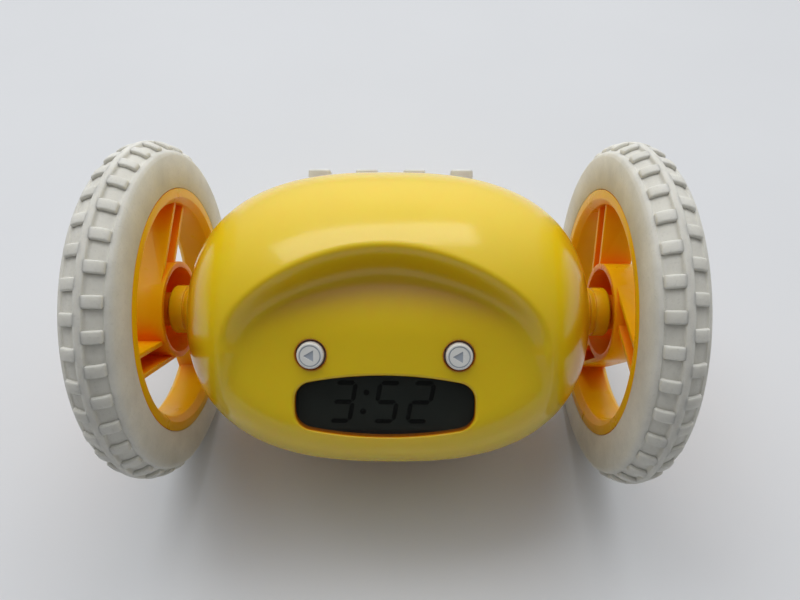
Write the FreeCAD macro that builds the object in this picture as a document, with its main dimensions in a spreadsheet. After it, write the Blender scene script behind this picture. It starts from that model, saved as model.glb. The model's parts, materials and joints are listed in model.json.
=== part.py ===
import FreeCAD, Part
import Sketcher
import math
import os
import re

# Runaway alarm clock: a rounded two-shell body slung between two driven wheels.
# Three frames are used.  All have their origin on the wheel axle, X along it.
#   level: Y to the rear, Z up.
#   hull:  level turned by body_tilt about X, so that Z leaves the body at the brow.
#   face:  hull turned on by face_tilt, with its origin in the middle of the face.
# The finished part stands on its tyres with its origin on the floor below the axle.

V = FreeCAD.Vector
ALONG_X = FreeCAD.Rotation(V(0, 1, 0), 90)
LEFT = -1
RIGHT = 1
SIDES = (("left", LEFT), ("right", RIGHT))

doc = FreeCAD.newDocument("RunawayAlarmClock")
sheet = doc.addObject("Spreadsheet::Sheet", "Sizes")


def shell_at(place):
    """Formula for the body's radius at a place along X."""
    return "shell_radius * (1 - (%s / shell_reach)^shell_power)^(1 / shell_power)" % place


SIZES = (
    # overall stance
    ("tread_radius", 44.5, "outside of the tread blocks, and the height of the axle"),
    ("wheel_gap", 4.9, "between the end of the body and a tyre"),
    ("wheel_gauge", "=shell_end + wheel_gap", "centre plane of the clock to the inner face of a tyre"),
    ("body_tilt", 38.0, "how far the body leans back from level, degrees"),
    ("face_tilt", 9.0, "slope of the flat face against the split line, degrees"),
    # clearances
    ("seat_gap", 0.05, "between moulded pieces that are screwed together"),
    ("fit_gap", 0.12, "between a piece and the opening that it fills"),
    ("slide_gap", 0.16, "round a button in its hole"),
    ("running_gap", 0.04, "between a shaft and its bore"),
    ("press_gap", 0.01, "between pieces pressed together"),
    # body shells
    ("shell_radius", 38.2, "largest radius of the body"),
    ("shell_reach", 51.5, "half length of the body's curve before its ends are cut flat"),
    ("shell_cut", 1.3, "how much of the body's curve is cut off flat at its ends"),
    ("shell_end", "=shell_reach - shell_cut", "centre plane to the flat end of the body"),
    ("shell_power", 2.6, "how square the body's curve is"),
    ("shell_drop", 1.5, "body's axis below the axle, in the hull frame"),
    ("shell_wall", 2.0, "wall thickness of the mouldings"),
    ("split_gap", 0.2, "groove between the two shells"),
    # the scooped face under the brow
    ("face_level", 25.55, "height of the face above the split line"),
    ("face_place", -22.5, "where the face has that height, in the hull frame"),
    ("brow_width", 33.0, "half width of the scoop at the eyes"),
    ("brow_arch", 17.0, "rise of the brow above the scoop's widest line"),
    ("brow_line", -9.0, "the scoop's widest line, in the hull frame"),
    ("brow_edge", 1.5, "radius where the scoop meets the brow"),
    ("brow_soft", 5.0, "how widely scoop and body are blended"),
    ("cheek_spread", 0.3, "how fast the scoop widens below the eyes"),
    ("hollow_start", -6.0, "where the face starts to sink towards the brow"),
    ("hollow_radius", 18.0, "radius of that hollow"),
    # display
    ("window_width", 20.2, "half width of the display opening"),
    ("window_height", 6.75, "half height of the opening in its middle"),
    ("window_side", 5.3, "half height of the opening at its sides"),
    ("window_corner", 3.3, "corner radius of the opening"),
    ("window_up", 1.0, "centre of the opening above the face's origin"),
    ("window_bevel", 0.55, "bevel round the opening"),
    ("window_sink", 0.6, "front of the clear window below the face"),
    ("window_lip", 1.3, "rim of the clear window behind the face"),
    ("window_lip_thick", 0.8, "thickness of that rim"),
    ("cell_thick", 1.8, "thickness of the display cell"),
    ("cell_width", 20.6, "half width of the display cell"),
    ("cell_height", 6.9, "half height of the display cell"),
    ("frame_wall", 0.9, "wall of the display frame"),
    ("digit_height", 10.3, "height of a numeral"),
    ("digit_width", 5.6, "width of a numeral"),
    ("digit_stroke", 1.05, "width of a numeral's bars"),
    ("digit_slant", 10.0, "lean of the numerals, degrees"),
    ("digit_thick", 0.08, "thickness of the numerals' layer"),
    ("strip_width", 2.0, "width of a rubber connector strip"),
    # main board
    ("board_depth", 9.0, "front of the main board below the face"),
    ("board_thick", 1.6, "thickness of the circuit boards"),
    ("board_width", 26.0, "half width of the main board"),
    ("board_low", -8.2, "lower edge of the main board from the face's origin"),
    ("board_high", 19.5, "upper edge of the main board"),
    ("board_post_x", 23.8, "side screw posts of the main board"),
    ("board_post_low", 3.0, "height of the side posts"),
    ("board_post_high", 17.0, "height of the middle post"),
    ("post_radius", 1.8, "radius of a small screw post"),
    ("chip_width", 12.0, "side of the controller chip"),
    ("chip_thick", 1.5, "thickness of the controller chip"),
    # eye buttons
    ("eye_spread", 16.8, "centre plane to the centre of an eye button"),
    ("eye_up", 12.95, "eye buttons above the face's origin"),
    ("eye_radius", 3.3, "radius of an eye button"),
    ("eye_proud", 1.1, "how far an eye button stands out of the face"),
    ("eye_travel", 0.8, "how far an eye button can be pressed"),
    ("eye_flange", 3.9, "radius of the eye button's flange"),
    ("switch_width", 6.0, "side of a push switch under an eye button"),
    ("switch_height", 3.4, "height of that switch"),
    # rear keys
    ("panel_width", 27.0, "half width of the key panel"),
    ("panel_depth", 15.0, "key panel from the split line to its rear edge"),
    ("panel_proud", 0.6, "how far the key panel stands out of the body"),
    ("panel_rim", 1.3, "rim of the key panel behind the rear shell"),
    ("key_pitch", 13.3, "from one rear key to the next"),
    ("key_back", 7.0, "rear keys behind the split line"),
    ("key_width", 6.2, "width of a rear key"),
    ("key_depth", 5.0, "front to back size of a rear key"),
    ("key_top", 39.5, "top of the rear keys above the axle, in the hull frame"),
    ("key_travel", 0.8, "how far a rear key can be pressed"),
    ("key_foot", 30.6, "underside of the rear keys"),
    ("key_flange", 1.0, "flange round the foot of a rear key, and its thickness"),
    ("key_switch_width", 5.0, "side of a push switch under a rear key"),
    ("key_switch_height", 2.5, "height of that switch"),
    ("key_board_width", 26.0, "half width of the key board"),
    ("key_board_front", 1.5, "front edge of the key board behind the split line"),
    ("key_board_rear", 13.0, "rear edge of the key board behind the split line"),
    # power
    ("cell_radius", 5.25, "radius of an AAA cell"),
    ("cell_length", 43.5, "length of an AAA cell without its nub"),
    ("cell_nub", 1.0, "length of the nub"),
    ("cell_nub_radius", 1.9, "radius of the nub"),
    ("cell_pitch", 10.9, "from one cell to the next"),
    ("cell_low", 22.0, "cells below the axle"),
    ("cell_front", 1.7, "middle of the cells in front of the axle"),
    ("tray_wall", 1.2, "wall of the battery tray"),
    ("spring_room", 4.05, "space for a contact spring behind the flat end of a cell"),
    ("tray_reach", "=(cell_length + cell_nub + seat_gap + spring_room) / 2 + contact_thick",
     "half length inside the battery tray"),
    ("tray_deep", 24.0, "lower edge of the battery tray below the axle"),
    ("contact_thick", 0.4, "thickness of the contact plates"),
    ("contact_width", 8.0, "width of a contact plate"),
    ("spring_radius", 2.6, "radius of a contact spring"),
    ("spring_tip", 1.7, "radius of that spring at the cell"),
    ("spring_wire", 0.3, "radius of the spring wire"),
    ("door_lap", 0.8, "how far the battery door reaches past the inside of the tray"),
    ("door_width", "=tray_reach + door_lap", "half length of the battery door"),
    ("door_reach", 22.8, "half width of the battery door"),
    ("door_tab", 4.0, "half width of a door tab"),
    ("door_tab_x", 13.0, "centre plane to a door tab"),
    # speaker
    ("speaker_angle", 104.0, "turn of the speaker from straight up to the rear, degrees"),
    ("speaker_radius", 11.0, "radius of the speaker"),
    ("speaker_thick", 4.6, "thickness of the speaker"),
    ("speaker_out", 31.2, "front of the speaker from the axle"),
    ("sound_hole", 0.9, "radius of a sound hole"),
    ("sound_pitch", 3.6, "from one sound hole to the next"),
    # case screws
    ("case_post_x", 33.0, "centre plane to the case screws"),
    ("case_post_top", 23.0, "upper case screws above the axle"),
    ("case_post_low", 27.0, "lower case screws below the axle"),
    ("case_post_radius", 3.0, "radius of a front screw post"),
    ("case_sleeve", 4.0, "radius of a rear screw post"),
    ("case_seat", 12.0, "seat of a case screw's head behind the split line"),
    ("case_screw", 1.1, "radius of a case screw"),
    ("case_head", 2.5, "radius of a case screw's head"),
    ("case_head_high", 1.8, "height of a case screw's head"),
    ("case_grip", 9.0, "length of a case screw in the front post"),
    ("small_screw", 0.8, "radius of a small screw"),
    ("small_head", 1.6, "radius of a small screw's head"),
    ("small_head_high", 1.1, "height of a small screw's head"),
    # gear boxes
    ("plate_gap", 1.3, "between the battery tray and the inner gear plate"),
    ("plate_inner", "=tray_reach + tray_wall + plate_gap", "centre plane to the inner gear plate"),
    ("plate_thick", 1.6, "thickness of the inner gear plate"),
    ("plate_clear", 0.5, "between the inner gear plate and the shells"),
    ("plate_radius", "=%s - shell_wall - plate_clear" % shell_at("(plate_inner + plate_thick)"),
     "radius of the inner gear plate"),
    ("plate_front", 12.0, "how far the inner gear plate rises in front of the split line"),
    ("plate_top", 24.8, "flat upper edge of the inner gear plate above the axle"),
    ("plate_notch", 17.0, "how far that flat edge reaches behind the split line"),
    ("cover_gap", 1.5, "between the gear on the axle and the outer gear plate"),
    ("cover_inner", "=drive_start + gear_thick + cover_gap", "centre plane to the outer gear plate"),
    ("cover_thick", 1.2, "thickness of the outer gear plate"),
    ("cover_clear", 1.4, "between the outer gear plate and the shells"),
    ("cover_radius", "=%s - shell_wall - cover_clear - cover_up - shell_drop"
     % shell_at("(cover_inner + cover_thick)"), "radius of the outer gear plate"),
    ("cover_up", 5.0, "centre of the outer gear plate above the axle"),
    ("cover_back", 1.0, "centre of the outer gear plate behind the split line"),
    ("low_post_y", -9.5, "lower front post between the gear plates, above the axle"),
    ("low_post_z", 6.5, "the same post in front of the split line"),
    ("back_post_y", -6.0, "lower rear post between the gear plates, above the axle"),
    ("back_post_z", -13.0, "the same post in front of the split line"),
    ("high_post_y", 12.0, "upper post between the gear plates, above the axle"),
    ("high_post_z", 9.5, "the same post in front of the split line"),
    ("gear_module", 0.5, "size of the gear teeth"),
    ("pinion_teeth", 10, "teeth of the motor pinion"),
    ("idler_teeth", 36, "teeth of the large idler gear"),
    ("idler_pinion_teeth", 12, "teeth of the small idler gear"),
    ("drive_teeth", 36, "teeth of the gear on the axle"),
    ("tooth_add", 0.8, "height of a tooth above the pitch circle, in modules"),
    ("tooth_sink", 1.1, "depth of a tooth below the pitch circle, in modules"),
    ("root_share", 0.30, "half width of a tooth at its root, in pitches"),
    ("tip_share", 0.13, "half width of a tooth at its tip, in pitches"),
    ("idler_turn", -43.0, "direction from the axle to the idler, degrees"),
    ("motor_turn", 103.0, "direction from the idler to the motor, degrees"),
    ("gear_gap", 1.1, "between the inner gear plate and the large idler gear"),
    ("gear_start", "=plate_inner + plate_thick + gear_gap", "centre plane to the large idler gear"),
    ("gear_thick", 2.8, "thickness of a gear"),
    ("drive_gap", 1.0, "between the large idler gear and the gear on the axle"),
    ("drive_start", "=gear_start + gear_thick + drive_gap", "centre plane to the gear on the axle"),
    ("motor_radius", 10.0, "radius of a motor"),
    ("motor_flat", 7.7, "half height of a motor over its flats"),
    ("motor_length", 24.0, "length of a motor"),
    ("motor_nose", 3.0, "radius of a motor's nose"),
    ("motor_shaft", 0.75, "radius of a motor's shaft"),
    ("pin_radius", 1.0, "radius of an idler pin"),
    # axle and collar
    ("axle_radius", 2.0, "radius of an axle"),
    ("axle_sink", 0.4, "inner end of an axle inside the inner gear plate"),
    ("axle_start", "=plate_inner + axle_sink", "centre plane to the inner end of an axle"),
    ("bush_radius", 3.2, "outer radius of an axle bush"),
    ("collar_radius", 6.5, "radius of the grooved collar"),
    ("collar_cover", 2.9, "how far the collar reaches into the wheel"),
    ("collar_end", "=wheel_gauge + collar_cover", "centre plane to the outer end of the collar"),
    ("collar_flange", 8.5, "radius of the collar's flange inside the body"),
    ("collar_flange_thick", 1.6, "thickness of that flange"),
    ("groove_width", 0.6, "width of the collar's grooves"),
    ("groove_depth", 0.5, "depth of the collar's grooves"),
    # wheels
    ("tyre_width", 11.6, "width of a tyre"),
    ("tread_depth", 1.25, "height of the tread blocks"),
    ("tread_blocks", 38, "tread blocks in each of the two rows"),
    ("block_width", 2.8, "tread block measured round the tyre"),
    ("block_end", 5.25, "outer end of a tread block from the middle of the tyre"),
    ("tread_rib", 0.9, "half width of the rib round the middle of the tread"),
    ("shoulder_drop", 2.6, "height of the rounded shoulder of a tyre"),
    ("shoulder_in", 1.3, "width of that shoulder"),
    ("bead_radius", 32.6, "radius where the side of the tyre meets the rim"),
    ("seat_radius", 30.5, "radius of the tyre's seat on the rim"),
    ("rim_lip", 1.5, "thickness of the rim's lips"),
    ("rim_inner", 28.7, "radius inside the rim"),
    ("rim_flat", 30.2, "radius where the lip's flat starts"),
    ("hub_sink", 0.5, "outer face of hub and spokes below the rim's outer face"),
    ("hub_floor", 1.4, "floor thickness of hub and spokes"),
    ("cup_radius", 13.0, "outer radius of the hub cup"),
    ("cup_wall", 1.5, "wall of the hub cup"),
    ("cup_sink", 1.7, "edge of the hub cup below the face of the tyre"),
    ("boss_radius", 4.6, "radius of the boss round the axle"),
    ("boss_gap", 0.7, "from the collar to that boss"),
    ("spoke_offset", 9.5, "spoke's middle line beside the axle"),
    ("spoke_width", 6.6, "width of a spoke's channel"),
    ("spoke_wall", 1.2, "thickness of the channel's walls"),
    ("spoke_sink", 2.6, "edge of the spokes below the face of the tyre"),
    ("left_spoke_turn", -20.5, "turn of the left wheel's spokes, degrees"),
    ("right_spoke_turn", 19.0, "turn of the right wheel's spokes, degrees"),
    ("left_tread_turn", 2.0, "turn of the left tread, degrees"),
    ("right_tread_turn", 5.1, "turn of the right tread, degrees"),
    ("wheel_screw", 1.2, "radius of a wheel screw"),
    ("wheel_screw_grip", 6.0, "length of a wheel screw in the axle"),
    ("wheel_head", 2.9, "radius of a wheel screw's head"),
    ("wheel_head_high", 1.5, "height of that head"),
    ("head_well", 4.0, "radius of the well round that head"),
    ("well_depth", 3.0, "depth of that well below the hub's outer face"),
    ("well_floor", 0.5, "thickness of the well's floor over the axle's end"),
    ("cap_radius", 8.5, "radius of a hub cap"),
    ("cap_thick", 0.5, "thickness of a hub cap"),
    ("cap_plug", 1.2, "length of a hub cap's plug"),
)


def fill_sheet():
    for row, (name, value, note) in enumerate(SIZES, 1):
        sheet.set("A%d" % row, note)
        sheet.set("B%d" % row, str(value))
        sheet.setAlias("B%d" % row, name)
    doc.recompute()


class Named:
    """Reads a size from the sheet by its name."""

    def __getattr__(self, name):
        return float(sheet.get(name))


fill_sheet()
size = Named()


def formula(text):
    """A formula on the names of sizes, as the sheet's own expression."""
    return re.sub(r"[a-z]+_[a-z_]+", lambda found: "Sizes." + found.group(0), str(text))


def number(text):
    """The present value of a formula."""
    value = sheet.evalExpression(formula(text))
    return float(getattr(value, "Value", value))


def bind(thing, **properties):
    for name, text in properties.items():
        thing.setExpression(name, formula(text))


# ---------------------------------------------------------------- placing nodes

nodes = []


def keep(thing, label):
    """Registers an object as a finished piece."""
    thing.Label = label
    nodes.append(thing)
    return thing


def place_hull(thing):
    thing.Placement = FreeCAD.Placement(V(), FreeCAD.Rotation(V(1, 0, 0), size.body_tilt))
    thing.setExpression("Placement.Rotation.Angle", formula("body_tilt * 1deg"))
    thing.setExpression("Placement.Base.z", formula("tread_radius"))
    return thing


def place_face(thing):
    turn = FreeCAD.Rotation(V(1, 0, 0), size.body_tilt + size.face_tilt)
    thing.Placement = FreeCAD.Placement(V(), turn)
    thing.setExpression("Placement.Rotation.Angle", formula("(body_tilt + face_tilt) * 1deg"))
    back = "face_place * cos(body_tilt * 1deg) - face_level * sin(body_tilt * 1deg)"
    rise = "face_place * sin(body_tilt * 1deg) + face_level * cos(body_tilt * 1deg)"
    thing.setExpression("Placement.Base.y", formula(back))
    thing.setExpression("Placement.Base.z", formula("tread_radius + " + rise))
    return thing


def place_level(thing):
    thing.setExpression("Placement.Base.z", formula("tread_radius"))
    return thing


def made(shape, label, place):
    """A piece whose shape is made with Part's own functions."""
    thing = doc.addObject("Part::Feature", label)
    thing.Shape = shape
    place(thing)
    return keep(thing, label)


# ---------------------------------------------------------------- plain solids

def block(name, x, y, z, turn="0"):
    """A box between pairs of formulas, turned about X."""
    box = doc.addObject("Part::Box", name)
    angle = number(turn)
    box.Placement = FreeCAD.Placement(V(), FreeCAD.Rotation(V(1, 0, 0), angle))
    bind(box, Length="(%s) - (%s)" % (x[1], x[0]))
    bind(box, Width="(%s) - (%s)" % (y[1], y[0]))
    bind(box, Height="(%s) - (%s)" % (z[1], z[0]))
    cosine = "cos((%s) * 1deg)" % turn
    sine = "sin((%s) * 1deg)" % turn
    box.setExpression("Placement.Rotation.Angle", formula("(%s) * 1deg" % turn))
    box.setExpression("Placement.Base.x", formula(x[0]))
    box.setExpression("Placement.Base.y", formula("(%s) * %s - (%s) * %s" % (y[0], cosine, z[0], sine)))
    box.setExpression("Placement.Base.z", formula("(%s) * %s + (%s) * %s" % (y[0], sine, z[0], cosine)))
    return box


def rod(name, radius, x, y="0", z="0"):
    """A cylinder along X between a pair of formulas."""
    rod_object = doc.addObject("Part::Cylinder", name)
    rod_object.Placement = FreeCAD.Placement(V(), ALONG_X)
    bind(rod_object, Radius=radius, Height="(%s) - (%s)" % (x[1], x[0]))
    rod_object.setExpression("Placement.Base.x", formula(x[0]))
    rod_object.setExpression("Placement.Base.y", formula(y))
    rod_object.setExpression("Placement.Base.z", formula(z))
    return rod_object


def post(name, radius, z, x="0", y="0"):
    """A cylinder along Z between a pair of formulas."""
    post_object = doc.addObject("Part::Cylinder", name)
    bind(post_object, Radius=radius, Height="(%s) - (%s)" % (z[1], z[0]))
    post_object.setExpression("Placement.Base.x", formula(x))
    post_object.setExpression("Placement.Base.y", formula(y))
    post_object.setExpression("Placement.Base.z", formula(z[0]))
    return post_object


def joined(name, pieces):
    fusion = doc.addObject("Part::MultiFuse", name)
    fusion.Shapes = pieces
    return fusion


def cut_from(name, base, tools):
    difference = doc.addObject("Part::Cut", name)
    difference.Base = base
    difference.Tool = tools[0] if len(tools) == 1 else joined(name + "_tools", tools)
    return difference


def group(name, pieces):
    """Separate solids kept in one piece of the model, such as like screws."""
    compound = doc.addObject("Part::Compound", name)
    compound.Links = pieces
    return compound


def outward(side, near, far):
    """The span from near to far off the centre plane, on one side of it."""
    if side == RIGHT:
        return near, far
    return "-(%s)" % far, "-(%s)" % near


# ---------------------------------------------------------------- sketched bodies

def new_body(name):
    body = doc.addObject("PartDesign::Body", name)
    return body


def origin_plane(body, role):
    for feature in body.Origin.OriginFeatures:
        if feature.Role == role:
            return feature
    raise ValueError(role)


def new_sketch(body, role, offset="0"):
    sketch = body.newObject("Sketcher::SketchObject", body.Name + "_sketch")
    sketch.AttachmentSupport = (origin_plane(body, role), [""])
    sketch.MapMode = "FlatFace"
    sketch.setExpression("AttachmentOffset.Base.z", formula(offset))
    return sketch


def pin_point(sketch, geometry, vertex, x, y):
    for kind, text in (("DistanceX", x), ("DistanceY", y)):
        constraint = Sketcher.Constraint(kind, -1, 1, geometry, vertex, number(text))
        index = sketch.addConstraint(constraint)
        sketch.setExpression("Constraints[%d]" % index, formula(text))


def draw_outline(sketch, corners):
    """A closed outline whose corners are pairs of formulas."""
    spots = [V(number(x), number(y), 0) for x, y in corners]
    first = sketch.GeometryCount
    count = len(corners)
    for index in range(count):
        line = Part.LineSegment(spots[index], spots[(index + 1) % count])
        sketch.addGeometry(line, False)
    for index in range(count):
        follower = first + (index + 1) % count
        sketch.addConstraint(Sketcher.Constraint("Coincident", first + index, 2, follower, 1))
    for index, (x, y) in enumerate(corners):
        pin_point(sketch, first + index, 1, x, y)


def draw_circle(sketch, x, y, radius):
    circle = Part.Circle(V(number(x), number(y), 0), V(0, 0, 1), number(radius))
    geometry = sketch.addGeometry(circle, False)
    index = sketch.addConstraint(Sketcher.Constraint("Radius", geometry, number(radius)))
    sketch.setExpression("Constraints[%d]" % index, formula(radius))
    pin_point(sketch, geometry, 3, x, y)


def rectangle(left, right, low, high):
    return [(left, low), (right, low), (right, high), (left, high)]


def turned(name, corners):
    """A body turned about X from an outline of (place along X, radius)."""
    body = new_body(name)
    sketch = new_sketch(body, "XY_Plane")
    draw_outline(sketch, corners)
    revolution = body.newObject("PartDesign::Revolution", name + "_turned")
    revolution.Profile = sketch
    revolution.ReferenceAxis = (sketch, ["H_Axis"])
    revolution.Angle = 360
    sketch.Visibility = False
    return body


def padded(name, role, offset, length, outline=None, circles=()):
    body = new_body(name)
    sketch = new_sketch(body, role, offset)
    if outline:
        draw_outline(sketch, outline)
    for x, y, radius in circles:
        draw_circle(sketch, x, y, radius)
    pad = body.newObject("PartDesign::Pad", name + "_pad")
    pad.Profile = sketch
    pad.setExpression("Length", formula(length))
    return body


# ---------------------------------------------------------------- body surface

SHELL_STATIONS = 31
SHELL_TURNS = 61


def shell_curve(x, inset):
    """Radius of the body at a place along it, inset by a wall."""
    share = abs(x) / (size.shell_reach - inset)
    return (size.shell_radius - inset) * (1 - share ** size.shell_power) ** (1 / size.shell_power)


def scoop_floor(y, inset):
    rise = math.tan(math.radians(size.face_tilt)) * (y - size.face_place)
    sunk = max(0.0, y - size.hollow_start)
    return size.face_level + rise - inset - sunk * sunk / (2 * size.hollow_radius)


def scoop_wall(x, y, inset):
    """Height of the scoop's rounded side above its floor."""
    half_width = size.brow_width + inset
    arch = size.brow_arch + inset
    beyond = y - size.brow_line
    if beyond >= 0:
        share = math.hypot(x / half_width, beyond / arch)
        outside = math.hypot(x, beyond) * (1 - 1 / share) if share > 1 else 0.0
    else:
        outside = abs(x) - half_width + size.cheek_spread * beyond
    return max(0.0, outside) ** 2 / (2 * size.brow_edge)


def soft_least(first, second, width):
    share = max(width - abs(first - second), 0.0) / width
    return min(first, second) - share * share * width / 4


def hull_point(x, turn, inset, scooped):
    radius = shell_curve(x, inset)
    y = radius * math.sin(turn) - size.shell_drop
    z = radius * math.cos(turn)
    if scooped:
        scoop = scoop_floor(y, inset) + scoop_wall(x, y, inset)
        z = soft_least(z, scoop, size.brow_soft)
    return V(x, y, z)


def half_hull(inset, scooped):
    """One half of the body as a solid: the scooped front half or the plain rear half."""
    reach = size.shell_reach - inset
    end = size.shell_end - inset
    last = math.asin(end / reach)
    start = -math.pi / 2 if scooped else math.pi / 2
    rows = []
    for station in range(SHELL_STATIONS):
        lean = last * (2 * station / (SHELL_STATIONS - 1) - 1)
        x = reach * math.sin(lean)
        turns = [start + math.pi * step / (SHELL_TURNS - 1) for step in range(SHELL_TURNS)]
        rows.append([hull_point(x, turn, inset, scooped) for turn in turns])
    surface = Part.BSplineSurface()
    surface.interpolate(rows)
    skin = surface.toShape()
    faces = [skin]
    long_edges = []
    for edge in skin.Edges:
        first = edge.Vertexes[0].Point
        final = edge.Vertexes[-1].Point
        if abs(first.x - final.x) > end:
            long_edges.append(edge)
        else:
            chord = Part.LineSegment(first, final).toShape()
            long_edges.append(chord)
            faces.append(Part.Face(Part.Wire(Part.__sortEdges__([edge, chord]))))
    faces.append(Part.Face(Part.Wire(Part.__sortEdges__(long_edges))))
    solid = Part.Solid(Part.Shell(faces))
    if solid.Volume < 0:
        solid.reverse()
    return solid


def span(x, y, z):
    """A box shape between pairs of numbers."""
    return Part.makeBox(x[1] - x[0], y[1] - y[0], z[1] - z[0], V(x[0], y[0], z[0]))


def level_to_hull(shape):
    shape.rotate(V(), V(1, 0, 0), -size.body_tilt)
    return shape


def face_to_hull(shape):
    shape.Placement = FreeCAD.Placement(
        V(0, size.face_place, size.face_level), FreeCAD.Rotation(V(1, 0, 0), size.face_tilt)
    ).multiply(shape.Placement)
    return shape


def lens_prism(grow, low, high):
    """The display opening's outline, grown all round, as a prism in the face frame."""
    across = size.window_width + grow
    side = size.window_side + grow
    middle = size.window_height + grow
    bow = 0.5
    corners = [V(-across, -side, low), V(across, -side, low), V(across, side, low), V(-across, side, low)]
    through = [V(0, -middle, low), V(across + bow, 0, low), V(0, middle, low), V(-across - bow, 0, low)]
    edges = []
    for index in range(4):
        edges.append(Part.Arc(corners[index], through[index], corners[(index + 1) % 4]).toShape())
    prism = Part.Face(Part.Wire(edges)).extrude(V(0, 0, high - low))
    upright = [edge for edge in prism.Edges if abs(edge.tangentAt(edge.FirstParameter).z) > 0.99]
    prism = prism.makeFillet(size.window_corner + grow, upright)
    prism.translate(V(0, size.window_up, 0))
    return prism


def lens_outline(grow, height):
    prism = lens_prism(grow, height, height + 1)
    lowest = min(prism.Faces, key=lambda face: face.CenterOfMass.z)
    return lowest.OuterWire


def mirrored_posts(radius, low, high):
    """Four upright cylinders where the case screws are."""
    shapes = []
    for x in (-size.case_post_x, size.case_post_x):
        for y in (size.case_post_top, -size.case_post_low):
            shapes.append(Part.makeCylinder(radius, high - low, V(x, y, low)))
    return shapes


BOARD_POSTS = (
    ("-board_post_x", "board_post_low"),
    ("board_post_x", "board_post_low"),
    ("0", "board_post_high"),
)


def board_posts(radius, low, high):
    shapes = []
    for x, y in BOARD_POSTS:
        shapes.append(Part.makeCylinder(radius, high - low, V(number(x), number(y), low)))
    return shapes


def collar_bore():
    length = 2 * size.shell_end + 2 * size.shell_wall
    radius = size.collar_radius + size.fit_gap
    return Part.makeCylinder(radius, length, V(-length / 2, 0, 0), V(1, 0, 0))


def build_front_shell():
    outer = half_hull(0, True)
    deep = size.shell_radius
    shell = outer.cut(half_hull(size.shell_wall, True))
    posts = mirrored_posts(size.case_post_radius, 0, deep)
    posts += [face_to_hull(shape) for shape in board_posts(size.post_radius, -size.board_depth, size.shell_wall)]
    shell = shell.fuse([shape.common(outer) for shape in posts])
    tools = mirrored_posts(size.case_screw + size.fit_gap, -1, size.case_grip + 1)
    screw_top = -size.board_depth + size.board_depth / 2
    face_tools = board_posts(size.small_screw + size.fit_gap, -size.board_depth - 1, screw_top)
    face_tools.append(lens_prism(0, -size.shell_wall * 2, size.shell_wall))
    bevel = size.window_bevel
    face_tools.append(Part.makeLoft([lens_outline(0, -bevel), lens_outline(2 * bevel, bevel)], True, True))
    seat_low = -size.shell_wall - size.window_lip_thick - 2 * size.seat_gap
    face_tools.append(lens_prism(size.window_lip + size.fit_gap, seat_low - size.shell_wall, -size.shell_wall))
    frame_x = size.cell_width + size.frame_wall + 2 * size.fit_gap
    frame_y = size.cell_height + size.frame_wall + 2 * size.fit_gap
    frame_span = (size.window_up - frame_y, size.window_up + frame_y)
    face_tools.append(span((-frame_x, frame_x), frame_span, (-size.board_depth, seat_low)))
    hole = size.eye_radius + size.slide_gap
    for x in (-size.eye_spread, size.eye_spread):
        face_tools.append(Part.makeCylinder(hole, 4 * size.shell_wall, V(x, size.eye_up, -2 * size.shell_wall)))
        lip = 0.3
        face_tools.append(Part.makeCone(hole, hole + 2 * lip, 2 * lip, V(x, size.eye_up, -lip)))
    tools += [face_to_hull(shape) for shape in face_tools]
    tools.append(collar_bore())
    return shell.cut(tools)


def key_opening(grow):
    side = size.panel_width + grow
    return span((-side, side), (size.shell_radius / 2, 2 * size.shell_radius), (-size.panel_depth - grow, 0))


def door_opening(grow):
    side = size.door_width + grow
    front = -size.cell_front - size.door_reach - grow
    rear = -size.cell_front + size.door_reach + grow
    return level_to_hull(span((-side, side), (front, rear), (-2 * size.shell_radius, -size.cell_low)))


def speaker_axis():
    turn = math.radians(size.speaker_angle + size.body_tilt)
    return V(0, math.sin(turn), math.cos(turn))


def along_speaker(radius, near, far, across=0.0, over=0.0):
    axis = speaker_axis()
    beside = axis.cross(V(1, 0, 0))
    start = axis * near + V(across, 0, 0) + beside * over
    return Part.makeCylinder(radius, far - near, start, axis)


def sound_holes():
    """Holes on two rings round one in the middle."""
    places = [(0.0, 0.0)]
    for ring, count in ((1, 6), (2, 12)):
        for index in range(count):
            turn = 2 * math.pi * index / count
            radius = ring * size.sound_pitch
            places.append((radius * math.cos(turn), radius * math.sin(turn)))
    far = size.shell_radius + size.shell_wall
    return [along_speaker(size.sound_hole, size.speaker_out, far, across, over) for across, over in places]


def build_rear_shell():
    outer = half_hull(0, False)
    far = size.shell_radius
    shell = outer.cut(half_hull(size.shell_wall, False))
    sleeve = size.speaker_radius + size.fit_gap
    seat = size.speaker_out + size.seat_gap
    rim = along_speaker(sleeve + size.spoke_wall, seat - size.speaker_thick / 2, far)
    rim = rim.cut(along_speaker(sleeve, 0, seat))
    rim = rim.cut(along_speaker(sleeve - size.post_radius, 0, far))
    solids = mirrored_posts(size.case_sleeve, -far, 0) + [rim]
    shell = shell.fuse([shape.common(outer) for shape in solids])
    tools = mirrored_posts(size.case_screw + size.fit_gap, -far, 1)
    tools += mirrored_posts(size.case_head + size.fit_gap, -far, -size.case_seat)
    tools += sound_holes()
    tools.append(key_opening(0))
    tools.append(door_opening(0))
    tools.append(collar_bore())
    side = 2 * size.shell_radius
    tools.append(span((-side, side), (-side, side), (-size.split_gap, side)))
    return shell.cut(tools)


KEYS = (("hour_key", "-1.5"), ("minute_key", "-0.5"), ("alarm_key", "0.5"), ("time_key", "1.5"))


def key_place(share):
    return "(%s) * key_pitch" % share


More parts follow.
